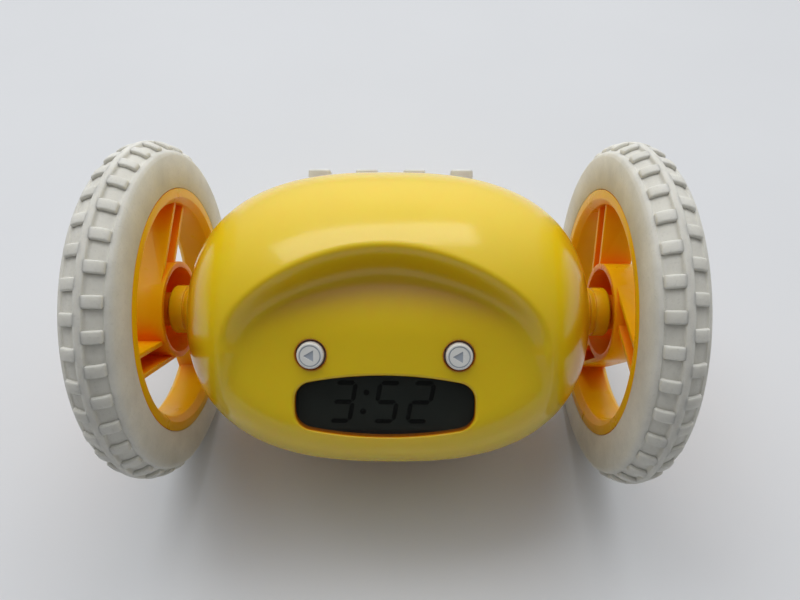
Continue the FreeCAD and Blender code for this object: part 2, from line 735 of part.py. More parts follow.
def build_key_panel():
    gap = size.fit_gap
    rim_top = size.shell_wall + size.seat_gap
    rim_low = rim_top + size.key_flange
    core = half_hull(rim_low, False)
    plate = half_hull(-size.panel_proud, False).cut(core).common(key_opening(-gap))
    rim = half_hull(rim_top, False).cut(core).common(key_opening(size.panel_rim))
    legs = []
    leg_end = size.key_board_width - gap
    foot = size.key_foot - size.key_travel - size.key_switch_height - 2 * size.seat_gap
    for inner, outer in ((leg_end - size.post_radius, leg_end), (-leg_end, -leg_end + size.post_radius)):
        depth = (-size.key_board_rear + 1, -size.key_board_front - 1)
        legs.append(span((inner, outer), (foot, size.shell_radius), depth))
    panel = plate.fuse([rim] + [leg.common(half_hull(size.shell_wall, False)) for leg in legs])
    tools = []
    for label, share in KEYS:
        middle = number(key_place(share))
        across = size.key_width / 2 + size.slide_gap
        along = size.key_depth / 2 + size.slide_gap
        depth = (-size.key_back - along, -size.key_back + along)
        tools.append(span((middle - across, middle + across), (0, 2 * size.shell_radius), depth))
        across += size.key_flange
        along += size.key_flange
        depth = (-size.key_back - along, -size.key_back + along)
        under = size.key_foot + size.key_flange + size.fit_gap
        tools.append(span((middle - across, middle + across), (0, under), depth))
    side = 2 * size.shell_radius
    tools.append(span((-side, side), (0, side), (-size.split_gap, side)))
    return panel.cut(tools)


def build_battery_door():
    gap = size.fit_gap
    core = half_hull(size.shell_wall, False)
    door = half_hull(0, False).cut(core).common(door_opening(-gap))
    under = half_hull(size.shell_wall + size.seat_gap, False)
    under = under.cut(half_hull(size.shell_wall + size.tray_wall, False))
    edge = size.door_reach - size.cell_front
    tabs = []
    for x in (-size.door_tab_x, size.door_tab_x):
        reach = (edge - size.door_tab, edge + size.door_tab / 2)
        tabs.append(span((x - size.door_tab, x + size.door_tab), reach, (-size.shell_radius, 0)))
    front = -size.cell_front - size.door_reach
    latch = (front - size.door_tab / 2, front + size.door_tab)
    tabs.append(span((-size.door_tab, size.door_tab), latch, (-size.shell_radius, 0)))
    ribs = []
    rib_top = -size.cell_low - size.cell_radius - size.fit_gap
    for x in (-size.door_tab_x, size.door_tab_x):
        reach = (front + size.door_tab, edge - size.door_tab)
        ribs.append(span((x - size.tray_wall / 2, x + size.tray_wall / 2), reach, (-size.shell_radius, rib_top)))
    inside = half_hull(size.shell_wall / 2, False)
    pieces = [level_to_hull(tab).common(under) for tab in tabs]
    pieces += [level_to_hull(rib).common(inside) for rib in ribs]
    # a thin web joins each tab to the door across the gap under the shell
    web = half_hull(size.shell_wall / 2, False).cut(half_hull(size.shell_wall + size.tray_wall, False))
    for tab in tabs:
        pieces.append(tab.common(web).common(door_opening(-gap)))
    return door.fuse(pieces)


made(build_front_shell(), "front_shell", place_hull)
made(build_rear_shell(), "rear_shell", place_hull)
made(build_key_panel(), "key_panel", place_hull)
made(build_battery_door(), "battery_door", place_hull)


# ---------------------------------------------------------------- display

def build_lcd_window():
    back = -size.shell_wall - size.seat_gap
    pane = lens_prism(-size.fit_gap, back, -size.window_sink)
    rim = lens_prism(size.window_lip, back - size.window_lip_thick, back)
    return pane.fuse(rim)


made(build_lcd_window(), "lcd_window", place_face)

CELL_TOP = "(-(shell_wall + seat_gap + window_lip_thick + 2 * digit_thick))"
BOARD_TOP = "(-board_depth)"


def middle_span(half):
    return "-(%s)" % half, half


def window_span(half):
    return "window_up - (%s)" % half, "window_up + (%s)" % half


lcd_cell = block(
    "lcd_cell_block", middle_span("cell_width"), window_span("cell_height"),
    ("%s - cell_thick" % CELL_TOP, CELL_TOP)
)
keep(place_face(group("lcd_cell", [lcd_cell])), "lcd_cell")


def build_lcd_frame():
    """A ring round the display cell, standing on the main board."""
    inner_x = size.cell_width + size.fit_gap
    inner_y = size.cell_height + size.fit_gap
    top = -size.shell_wall - size.window_lip_thick - 2 * size.seat_gap
    low = -size.board_depth
    middle = size.window_up
    outer_x = inner_x + size.frame_wall
    outer_y = inner_y + size.frame_wall
    ring = span((-outer_x, outer_x), (middle - outer_y, middle + outer_y), (low, top))
    upright = [edge for edge in ring.Edges if abs(edge.tangentAt(0).z) > 0.99]
    ring = ring.makeFillet(size.frame_wall * 1.5, upright)
    hollow = span((-inner_x, inner_x), (middle - inner_y, middle + inner_y), (low, top))
    return ring.cut(hollow)


made(build_lcd_frame(), "lcd_frame", place_face)

STROKES = {
    "top": (-1, 1, 1, 1), "middle": (-1, 0, 1, 0), "bottom": (-1, -1, 1, -1),
    "upper left": (-1, 0, -1, 1), "upper right": (1, 0, 1, 1),
    "lower left": (-1, -1, -1, 0), "lower right": (1, -1, 1, 0),
}
NUMERALS = {
    "3": ("top", "middle", "bottom", "upper right", "lower right"),
    "5": ("top", "middle", "bottom", "upper left", "lower right"),
    "2": ("top", "middle", "bottom", "upper right", "lower left"),
}
SHOWN = (("3", -9.9), ("5", 0.4), ("2", 8.3))
COLON_PLACE = -4.8
COLON_RISE = 2.3


def bar(start, final, half, low):
    """A numeral's bar with pointed ends between two places."""
    run = (final - start).normalize()
    side = V(-run.y, run.x, 0) * half
    near = start + run * half * 0.3
    far = final - run * half * 0.3
    corners = [near, near + run * half + side, far - run * half + side, far, far - run * half - side, near + run * half - side]
    lean = math.tan(math.radians(size.digit_slant))
    leaned = [V(spot.x + lean * spot.y, spot.y + size.window_up, low) for spot in corners]
    outline = Part.makePolygon(leaned + [leaned[0]])
    return Part.Face(outline).extrude(V(0, 0, size.digit_thick))


def build_lcd_digits():
    low = number(CELL_TOP)
    half = size.digit_stroke / 2
    across = size.digit_width / 2 - half
    rise = size.digit_height / 2 - half
    bars = []
    for numeral, place in SHOWN:
        for stroke in NUMERALS[numeral]:
            left, down, right, up = STROKES[stroke]
            start = V(place + across * left, rise * down, 0)
            final = V(place + across * right, rise * up, 0)
            bars.append(bar(start, final, half, low))
    for rise_sign in (-1, 1):
        lean = math.tan(math.radians(size.digit_slant)) * COLON_RISE * rise_sign
        spot = V(COLON_PLACE + lean, COLON_RISE * rise_sign + size.window_up, low)
        bars.append(Part.makeCylinder(half * 1.3, size.digit_thick, spot))
    return Part.makeCompound(bars)


made(build_lcd_digits(), "lcd_digits", place_face)

strip_bars = []
for strip_name, strip_sign in (("lower", "-1"), ("upper", "1")):
    centre = "window_up + %s * (cell_height - strip_width)" % strip_sign
    strip_bars.append(block(
        strip_name + "_strip", middle_span("cell_width - strip_width"),
        ("%s - strip_width / 2" % centre, "%s + strip_width / 2" % centre),
        (BOARD_TOP, "%s - cell_thick - seat_gap" % CELL_TOP)
    ))
keep(place_face(group("lcd_connector_strips", strip_bars)), "lcd_connector_strips")

# ---------------------------------------------------------------- main board

main_board = padded(
    "main_board", "XY_Plane", "-board_depth - board_thick - seat_gap", "board_thick",
    rectangle("-board_width", "board_width", "board_low", "board_high"),
    [(x, y, "small_screw + fit_gap") for x, y in BOARD_POSTS]
)
keep(place_face(main_board), "main_board")

chip = block(
    "chip_block", middle_span("chip_width / 2"), ("0", "chip_width"),
    ("-board_depth - board_thick - chip_thick - 2 * seat_gap", "-board_depth - board_thick - 2 * seat_gap")
)
keep(place_face(group("controller_chip", [chip])), "controller_chip")


def screw(name, x, y, head_low, head_high, tip, radius, head_radius):
    """A pan head screw along Z."""
    head = post(name + "_head", head_radius, (head_low, head_high), x, y)
    shank = post(name + "_shank", radius, (head_high, tip), x, y)
    return joined(name, [head, shank])


board_back = "-board_depth - board_thick - 2 * seat_gap"
board_screws = []
for index, (x, y) in enumerate(BOARD_POSTS, 1):
    board_screws.append(screw(
        "board_screw_%d" % index, x, y, board_back + " - small_head_high", board_back,
        "-board_depth + board_depth / 2 - seat_gap", "small_screw", "small_head"
    ))
keep(place_face(group("board_screws", board_screws)), "board_screws")

# ---------------------------------------------------------------- eye buttons

eye_switches = []
for side_name, side in SIDES:
    x = "%d * eye_spread" % side
    body_block = block(
        side_name + "_switch_body",
        ("%s - switch_width / 2" % x, "%s + switch_width / 2" % x),
        ("eye_up - switch_width / 2", "eye_up + switch_width / 2"),
        (BOARD_TOP, "-board_depth + switch_height")
    )
    plunger = post(
        side_name + "_switch_plunger", "switch_width / 4",
        ("-board_depth + switch_height", "-board_depth + switch_height + 0.3"), x, "eye_up"
    )
    eye_switches.append(joined(side_name + "_eye_switch", [body_block, plunger]))
keep(place_face(group("eye_switches", eye_switches)), "eye_switches")

EYE_FOOT = "(-board_depth + switch_height + 0.3 + eye_travel + 0.1)"
FLANGE_TOP = "(-shell_wall - 0.3)"


def build_eye_button(side_name, side):
    """A flanged round button with a ring and an arrow sunk in its face."""
    name = side_name + "_eye_button"
    x = "%d * eye_spread" % side
    stem = post(name + "_stem", "eye_radius", (EYE_FOOT, "eye_proud"), x, "eye_up")
    rounded = doc.addObject("Part::Fillet", name + "_rounded")
    rounded.Base = stem
    doc.recompute()
    top_edge = 0
    for index, edge in enumerate(stem.Shape.Edges, 1):
        if edge.BoundBox.ZMin > size.eye_proud - size.slide_gap:
            top_edge = index
    rounded.Edges = [(top_edge, 0.5, 0.5)]
    flange = post(name + "_flange", "eye_flange", ("%s - 1" % FLANGE_TOP, FLANGE_TOP), x, "eye_up")
    solid = joined(name + "_solid", [rounded, flange])
    sunk = ("eye_proud - 0.18", "eye_proud + 1")
    ring = cut_from(name + "_ring", post(name + "_ring_outer", "eye_radius - 0.62", sunk, x, "eye_up"),
                    [post(name + "_ring_inner", "eye_radius - 0.92", sunk, x, "eye_up")])
    arrow = doc.addObject("Part::Prism", name + "_arrow")
    arrow.Polygon = 3
    bind(arrow, Circumradius="eye_radius * 0.5", Height="1.18")
    arrow.Placement = FreeCAD.Placement(V(), FreeCAD.Rotation(V(0, 0, 1), 180))
    arrow.setExpression("Placement.Base.x", formula(x))
    arrow.setExpression("Placement.Base.y", formula("eye_up"))
    arrow.setExpression("Placement.Base.z", formula("eye_proud - 0.18"))
    return cut_from(name, solid, [ring, arrow])


for side_name, side in SIDES:
    keep(place_face(build_eye_button(side_name, side)), side_name + "_eye_button")

# ---------------------------------------------------------------- rear keys

KEY_FLANGE_TOP = "(key_foot + key_flange)"


def build_key(name, share):
    """A rubber key with a flange under the panel; Y is its direction of travel."""
    middle = key_place(share)
    stem = block(
        name + "_stem",
        ("%s - key_width / 2" % middle, "%s + key_width / 2" % middle),
        ("key_foot", "key_top"),
        ("-key_back - key_depth / 2", "-key_back + key_depth / 2")
    )
    doc.recompute()
    rounded = doc.addObject("Part::Fillet", name + "_rounded")
    rounded.Base = stem
    edges = []
    for index, edge in enumerate(stem.Shape.Edges, 1):
        box = edge.BoundBox
        if box.YMin > size.key_top - 0.1:
            edges.append((index, 0.7, 0.7))
        elif box.YLength > 1:
            edges.append((index, 0.9, 0.9))
    rounded.Edges = edges
    flange = block(
        name + "_flange",
        ("%s - key_width / 2 - key_flange" % middle, "%s + key_width / 2 + key_flange" % middle),
        ("key_foot", KEY_FLANGE_TOP),
        ("-key_back - key_depth / 2 - key_flange", "-key_back + key_depth / 2 + key_flange")
    )
    return joined(name, [rounded, flange])


for key_name, key_share in KEYS:
    keep(place_hull(build_key(key_name, key_share)), key_name)

SWITCH_TOP = "(key_foot - key_travel - seat_gap)"
BOARD_FRONT = "(key_foot - key_travel - key_switch_height - 2 * seat_gap)"
key_switches = []
for key_name, key_share in KEYS:
    middle = key_place(key_share)
    key_switches.append(block(
        key_name + "_switch",
        ("%s - key_switch_width / 2" % middle, "%s + key_switch_width / 2" % middle),
        (BOARD_FRONT, SWITCH_TOP),
        ("-key_back - key_switch_width / 2", "-key_back + key_switch_width / 2")
    ))
keep(place_hull(group("key_switches", key_switches)), "key_switches")

key_board = block(
    "key_board_block", middle_span("key_board_width"),
    ("%s - seat_gap - board_thick" % BOARD_FRONT, "%s - seat_gap" % BOARD_FRONT),
    ("-key_board_rear", "-key_board_front")
)
keep(place_hull(group("key_board", [key_board])), "key_board")


# ---------------------------------------------------------------- power

CELL_ROWS = ("-1.5", "-0.5", "0.5", "1.5")
CELL_SHARES = [(row, 1 - 2 * (index % 2)) for index, row in enumerate(CELL_ROWS)]
CONTACT_FACE = "(tray_reach - contact_thick)"
NUB_TIP = "(tray_reach - contact_thick - seat_gap)"


def cell_row(row):
    return "(%s) * cell_pitch - cell_front" % row


for index, (row, way) in enumerate(CELL_SHARES, 1):
    label = "cell_%d" % index
    can_span = outward(way, "%s - cell_nub - cell_length" % NUB_TIP, "%s - cell_nub" % NUB_TIP)
    nub_span = outward(way, "%s - cell_nub" % NUB_TIP, NUB_TIP)
    can = rod(label + "_can", "cell_radius", can_span, cell_row(row), "-cell_low")
    nub = rod(label + "_nub", "cell_nub_radius", nub_span, cell_row(row), "-cell_low")
    keep(place_level(joined(label, [can, nub])), label)

contact_plates = []
for index, (row, way) in enumerate(CELL_SHARES, 1):
    for end_name, end in SIDES:
        across = outward(end, CONTACT_FACE, "tray_reach")
        centre = cell_row(row)
        contact_plates.append(block(
            "contact_%d_%s" % (index, end_name), across,
            ("%s - contact_width / 2" % centre, "%s + contact_width / 2" % centre),
            ("-cell_low - contact_width / 2", "-cell_low + contact_width / 2")
        ))
keep(place_level(group("battery_contacts", contact_plates)), "battery_contacts")

SPRING_TURNS = 3
TURN_STEPS = 10


def contact_spring(row, way):
    """A tapered coil between the flat end of a cell and its contact plate, bent from short straight runs."""
    base = number(CONTACT_FACE) - size.spring_wire - size.seat_gap
    tip = size.cell_length + size.cell_nub - number(NUB_TIP) + size.spring_wire + size.seat_gap
    steps = SPRING_TURNS * TURN_STEPS
    spots = []
    for step in range(steps + 1):
        turn = 2 * math.pi * step / TURN_STEPS
        radius = size.spring_radius + (size.spring_tip - size.spring_radius) * step / steps
        spots.append(V(radius * math.cos(turn), radius * math.sin(turn), (base - tip) * step / steps))
    section = Part.Wire(Part.makeCircle(size.spring_wire, spots[0], spots[1] - spots[0]))
    spring = Part.makePolygon(spots).makePipeShell([section], True, True, 1)
    spring.rotate(V(), V(0, 1, 0), way * 90)
    spring.translate(V(-way * base, number(cell_row(row)), -size.cell_low))
    return spring


springs = Part.makeCompound([contact_spring(row, way) for row, way in CELL_SHARES])
made(springs, "battery_springs", place_level)


def build_battery_tray():
    wall = size.tray_wall
    deep = 2 * size.shell_radius
    across = size.tray_reach
    reach = 2 * size.cell_pitch + size.contact_thick / 2
    middle = -size.cell_front
    roof = -size.cell_low + size.cell_radius + size.fit_gap
    outer = span((-across - wall, across + wall), (middle - reach - wall, middle + reach + wall), (-deep, roof + wall))
    hollow = span((-across, across), (middle - reach, middle + reach), (-deep, roof))
    foot = 2 * wall
    low = (-deep, -size.tray_deep)
    wide = 2 * across
    cuts = [
        hollow,
        span((-across + foot, across - foot), (middle - wide, middle + wide), low),
        span((-wide, wide), (middle - reach + foot, middle + reach - foot), low),
    ]
    # three low combs keep the cells apart
    combs = []
    for place in (-1, 0, 1):
        y = middle + place * size.cell_pitch
        half = size.seat_gap + size.fit_gap / 2
        comb = span((-wall, wall), (y - half, y + half), (roof - size.cell_radius / 2, roof + wall / 2))
        combs.append(comb)
    tray = level_to_hull(outer.cut(cuts).fuse(combs))
    return tray.common(half_hull(size.shell_wall + size.seat_gap, False).fuse(
        half_hull(size.shell_wall + size.seat_gap, True)))


made(build_battery_tray(), "battery_tray", place_hull)

# ---------------------------------------------------------------- speaker

def build_speaker():
    front = size.speaker_out
    ring = size.speaker_thick / 4
    back = front - size.speaker_thick
    axis = speaker_axis()
    magnet = size.speaker_radius / 2
    basket = Part.makeCone(
        magnet, size.speaker_radius - ring, 2 * ring, axis * (front - 3 * ring), axis
    )
    body = along_speaker(size.speaker_radius, front - ring, front)
    body = body.fuse([basket, along_speaker(magnet, back, front - 2 * ring)])
    bowl = Part.makeCone(magnet / 2, size.speaker_radius - 2 * ring, ring * 2, axis * (front - 2 * ring), axis)
    dome = Part.makeSphere(magnet / 2, axis * (front - 2 * ring)).common(along_speaker(magnet, back, front))
    return body.cut(bowl).fuse(dome)


made(build_speaker(), "speaker", place_hull)

# ---------------------------------------------------------------- case screws

case_screws = []
for side_name, side in SIDES:
    for end_name, y in (("high", "case_post_top"), ("low", "-case_post_low")):
        case_screws.append(screw(
            "case_screw_%s_%s" % (side_name, end_name), "%d * case_post_x" % side, y,
            "-case_seat - case_head_high - seat_gap", "-case_seat - seat_gap", "case_grip",
            "case_screw", "case_head"
        ))
keep(place_hull(group("case_screws", case_screws)), "case_screws")

# ---------------------------------------------------------------- gear boxes

IDLER_DISTANCE = "(idler_pinion_teeth + drive_teeth) * gear_module / 2"
MOTOR_DISTANCE = "(pinion_teeth + idler_teeth) * gear_module / 2"
IDLER_Y = "%s * cos(idler_turn * 1deg)" % IDLER_DISTANCE
IDLER_Z = "%s * sin(idler_turn * 1deg)" % IDLER_DISTANCE
MOTOR_Y = "%s + %s * cos(motor_turn * 1deg)" % (IDLER_Y, MOTOR_DISTANCE)
MOTOR_Z = "%s + %s * sin(motor_turn * 1deg)" % (IDLER_Z, MOTOR_DISTANCE)
PLATE_OUTER = "plate_inner + plate_thick"
COVER_OUTER = "cover_inner + cover_thick"
IDLER_MIDDLE = "gear_start + gear_thick"
IDLER_END = "gear_start + 2 * gear_thick + 2 * plate_thick / 2"
GEAR_POSTS = (("low_post_y", "low_post_z"), ("back_post_y", "back_post_z"), ("high_post_y", "high_post_z"))


def place_about_axle(thing, turn="0", y="0", z="0"):
    """Places a piece that was made round the X axis at (y, z) of the hull, turned about that axis."""
    angle = number("body_tilt + " + turn)
    thing.Placement = FreeCAD.Placement(V(), FreeCAD.Rotation(V(1, 0, 0), angle))
    thing.setExpression("Placement.Rotation.Angle", formula("(body_tilt + %s) * 1deg" % turn))
    back = "(%s) * cos(body_tilt * 1deg) - (%s) * sin(body_tilt * 1deg)" % (y, z)
    rise = "(%s) * sin(body_tilt * 1deg) + (%s) * cos(body_tilt * 1deg)" % (y, z)
    thing.setExpression("Placement.Base.y", formula(back))
    thing.setExpression("Placement.Base.z", formula("tread_radius + " + rise))
    return thing


def toothed(name, teeth, x, turn):
    """A gear about X between a pair of formulas, with a tooth in the direction turn."""
    gear_body = new_body(name)
    disc = new_sketch(gear_body, "YZ_Plane", x[0])
    root = "gear_module * (%s / 2 - tooth_sink)" % teeth
    tip = "gear_module * (%s / 2 + tooth_add)" % teeth
    draw_circle(disc, "0", "0", root)
    length = "(%s) - (%s)" % (x[1], x[0])
    blank = gear_body.newObject("PartDesign::Pad", name + "_blank")
    blank.Profile = disc
    blank.setExpression("Length", formula(length))
    outline = new_sketch(gear_body, "YZ_Plane", x[0])
    wide = "%s * sin(root_share * 360deg / %s)" % (root, teeth)
    narrow = "%s * sin(tip_share * 360deg / %s)" % (tip, teeth)
    sunk = "%s - gear_module / 2" % root
    draw_outline(outline, [(sunk, "-%s" % wide), (tip, "-%s" % narrow), (tip, narrow), (sunk, wide)])
    tooth = gear_body.newObject("PartDesign::Pad", name + "_tooth")
    tooth.Profile = outline
    tooth.setExpression("Length", formula(length))
    repeat_round(gear_body, tooth, outline, teeth)
    gear_body.Placement = FreeCAD.Placement(V(), FreeCAD.Rotation(V(1, 0, 0), number(turn)))
    gear_body.setExpression("Placement.Rotation.Angle", formula("(%s) * 1deg" % turn))
    return gear_body


def repeat_round(owner, feature, sketch, count):
    pattern = owner.newObject("PartDesign::PolarPattern", feature.Name + "_pattern")
    pattern.Originals = [feature]
    pattern.Axis = (sketch, ["N_Axis"])
    pattern.Angle = 360
    pattern.setExpression("Occurrences", formula(count))
    owner.Tip = pattern
    return pattern


def build_gear_train(side_name, side):
    """Gears, plates and motor of one wheel."""
    name = side_name + "_"
    drive_span = outward(side, "drive_start", "drive_start + gear_thick")
    drive = cut_from(
        name + "drive_gear", toothed(name + "drive_teeth", "drive_teeth", drive_span, "idler_turn"),
        [rod(name + "drive_bore", "axle_radius + press_gap", drive_span)]
    )
    keep(place_about_axle(drive), name + "drive_gear")

    large_span = outward(side, "gear_start", IDLER_MIDDLE)
    small_span = outward(side, IDLER_MIDDLE, IDLER_END)
    whole_span = outward(side, "gear_start", IDLER_END)
    large = toothed(name + "idler_large", "idler_teeth", large_span, "motor_turn")
    small_turn = "idler_turn + 180 + 180 / idler_pinion_teeth"
    small = toothed(name + "idler_small", "idler_pinion_teeth", small_span, small_turn)
    idler = cut_from(
        name + "idler_gear", joined(name + "idler_solid", [large, small]),
        [rod(name + "idler_bore", "pin_radius + running_gap", whole_span)]
    )
    keep(place_about_axle(idler, "0", IDLER_Y, IDLER_Z), name + "idler_gear")

    pin_span = outward(side, "plate_inner + seat_gap", COVER_OUTER + " - seat_gap")
    idler_pin = group(name + "idler_pin", [rod(name + "pin", "pin_radius", pin_span)])
    keep(place_about_axle(idler_pin, "0", IDLER_Y, IDLER_Z), name + "idler_pin")

    pinion_turn = "motor_turn + 180 + 180 / pinion_teeth"
    pinion_span = outward(side, PLATE_OUTER + " + 0.9", "gear_start + gear_thick + 0.2")
    pinion = toothed(name + "pinion_teeth", "pinion_teeth", pinion_span, pinion_turn)
    shaft_span = outward(side, "plate_inner - motor_nose / 2", "gear_start + gear_thick + 0.5")
    shaft = rod(name + "motor_shaft", "motor_shaft", shaft_span)
    rotor = joined(name + "motor_pinion", [pinion, shaft])
    keep(place_about_axle(rotor, "0", MOTOR_Y, MOTOR_Z), name + "motor_pinion")

    can_span = outward(side, "plate_inner - motor_length", "plate_inner - seat_gap")
    can = rod(name + "motor_can", "motor_radius", can_span)
    flats = block(name + "motor_flats", can_span, middle_span("motor_radius + 1"), middle_span("motor_flat"))
    flat_can = doc.addObject("Part::MultiCommon", name + "motor_body")
    flat_can.Shapes = [can, flats]
    nose_span = outward(side, "plate_inner - motor_nose", "plate_inner + plate_thick / 2")
    nose = rod(name + "motor_nose", "motor_nose", nose_span)
    tail_span = outward(side, "plate_inner - motor_length - 1", "plate_inner - motor_length + 1")
    tail = rod(name + "motor_tail", "motor_nose", tail_span)
    bore_span = outward(side, "plate_inner - motor_nose / 2 - 0.3", "plate_inner + plate_thick")
    bore = rod(name + "motor_bore", "motor_shaft + running_gap", bore_span)
    motor = cut_from(name + "motor", joined(name + "motor_solid", [flat_can, nose, tail]), [bore])
    keep(place_about_axle(motor, "0", MOTOR_Y, MOTOR_Z), name + "motor")

    plate_span = outward(side, "plate_inner", PLATE_OUTER)
    plate = rod(name + "plate", "plate_radius", plate_span, "-shell_drop")
    posts = []
    for index, (y, z) in enumerate(GEAR_POSTS, 1):
        post_span = outward(side, PLATE_OUTER + " - seat_gap", "cover_inner - seat_gap")
        posts.append(rod("%sgear_post_%d" % (name, index), "post_radius", post_span, y, z))
    far = "2 * shell_radius"
    holes = [
        block(name + "plate_front_cut", plate_span, middle_span(far), ("plate_front", far)),
        block(name + "plate_top_cut", plate_span, ("plate_top", far), ("-plate_notch", far)),
        rod(name + "plate_nose_hole", "motor_nose + fit_gap", plate_span, MOTOR_Y, MOTOR_Z),
        rod(name + "plate_pin_hole", "pin_radius + press_gap", plate_span, IDLER_Y, IDLER_Z),
        rod(name + "plate_axle_hole", "axle_radius + running_gap", plate_span),
    ]
    screw_in = outward(side, "cover_inner - case_grip / 2 - 0.5", "cover_inner + 1")
    for index, (y, z) in enumerate(GEAR_POSTS, 1):
        holes.append(rod("%sgear_post_hole_%d" % (name, index), "small_screw + fit_gap", screw_in, y, z))
    frame = cut_from(name + "gear_frame", joined(name + "plate_and_posts", [plate] + posts), holes)
    keep(place_about_axle(frame), name + "gear_frame")

    cover_span = outward(side, "cover_inner", COVER_OUTER)
    cover_holes = [
        rod(name + "cover_pin_hole", "pin_radius + press_gap", cover_span, IDLER_Y, IDLER_Z),
        rod(name + "cover_axle_hole", "axle_radius + running_gap", cover_span),
    ]
    for index, (y, z) in enumerate(GEAR_POSTS, 1):
        cover_holes.append(rod("%scover_hole_%d" % (name, index), "small_screw + fit_gap", cover_span, y, z))
    disc = rod(name + "cover_disc", "cover_radius", cover_span, "cover_up", "-cover_back")
    cover = cut_from(name + "gear_cover", disc, cover_holes)
    keep(place_about_axle(cover), name + "gear_cover")


gearbox_screws = []
for side_name, side in SIDES:
    build_gear_train(side_name, side)
    for index, (y, z) in enumerate(GEAR_POSTS, 1):
        screw_name = "%s_gearbox_screw_%d" % (side_name, index)
        shank_span = outward(side, "cover_inner - case_grip / 2", COVER_OUTER + " + seat_gap")
        head_span = outward(side, COVER_OUTER + " + seat_gap", COVER_OUTER + " + seat_gap + small_head_high")
        shank = rod(screw_name + "_shank", "small_screw", shank_span, y, z)
        head = rod(screw_name + "_head", "small_head", head_span, y, z)
        gearbox_screws.append(joined(screw_name, [shank, head]))
keep(place_hull(group("gearbox_screws", gearbox_screws)), "gearbox_screws")

# ---------------------------------------------------------------- axles and collars

HUB_FACE = "(wheel_gauge + tyre_width - 2 * seat_gap - hub_sink)"
WELL_FACE = "(%s - well_depth)" % HUB_FACE
AXLE_END = "(%s - well_floor)" % WELL_FACE
COLLAR_INNER = "(shell_end - shell_wall - seat_gap - collar_flange_thick)"
FLANGE_FACE = "(shell_end - shell_wall - seat_gap)"


def sided(side, corners):
    """An outline of (place off the centre plane, radius) on one side."""
    return [("%d * (%s)" % (side, x), radius) for x, radius in corners]


def build_axle_group(side_name, side):
    name = side_name + "_"
    axle_rod = rod(name + "axle_rod", "axle_radius", outward(side, "axle_start", AXLE_END))
    thread = rod(name + "axle_thread", "wheel_screw + press_gap",
                 outward(side, "%s - wheel_screw_grip" % AXLE_END, AXLE_END))
    keep(place_about_axle(cut_from(name + "axle", axle_rod, [thread])), name + "axle")

    bush_end = "collar_end - well_floor"
    bush = turned(name + "axle_bush", sided(side, [
        (COLLAR_INNER, "axle_radius + running_gap"),
        (COLLAR_INNER, "bush_radius"),
        (bush_end, "bush_radius"),
        (bush_end, "axle_radius + running_gap"),
    ]))
    keep(place_about_axle(bush), name + "axle_bush")

    bore = "bush_radius + press_gap"
    floor = "collar_radius - groove_depth"
    first = "shell_end + 2.3"
    second = "shell_end + 3.8"
    corners = [
        (COLLAR_INNER, bore), (COLLAR_INNER, "collar_flange"), (FLANGE_FACE, "collar_flange"),
        (FLANGE_FACE, "collar_radius"),
    ]
    for groove in (first, second):
        corners += [
            (groove + " - groove_width / 2", "collar_radius"), (groove + " - groove_width / 2", floor),
            (groove + " + groove_width / 2", floor), (groove + " + groove_width / 2", "collar_radius"),
        ]
    corners += [
        ("collar_end - groove_depth", "collar_radius"), ("collar_end", floor), ("collar_end", bore),
    ]
    keep(place_about_axle(turned(name + "axle_collar", sided(side, corners))), name + "axle_collar")


# ---------------------------------------------------------------- wheels

RIM_NEAR = "(wheel_gauge + 2 * seat_gap)"
RIM_FAR = "(wheel_gauge + tyre_width - 2 * seat_gap)"
RIM_LIP_TOP = "(bead_radius - 2 * seat_gap)"
RIM_SEAT = "(seat_radius - 2 * seat_gap)"
RIM_BEVEL = "(rim_flat - rim_inner)"
FLOOR_INNER = "(%s - hub_floor)" % HUB_FACE
SPOKES = 3
SPOKE_STEP = 360 // SPOKES


def common_of(name, pieces):
    common = doc.addObject("Part::MultiCommon", name)
    common.Shapes = pieces
    return common


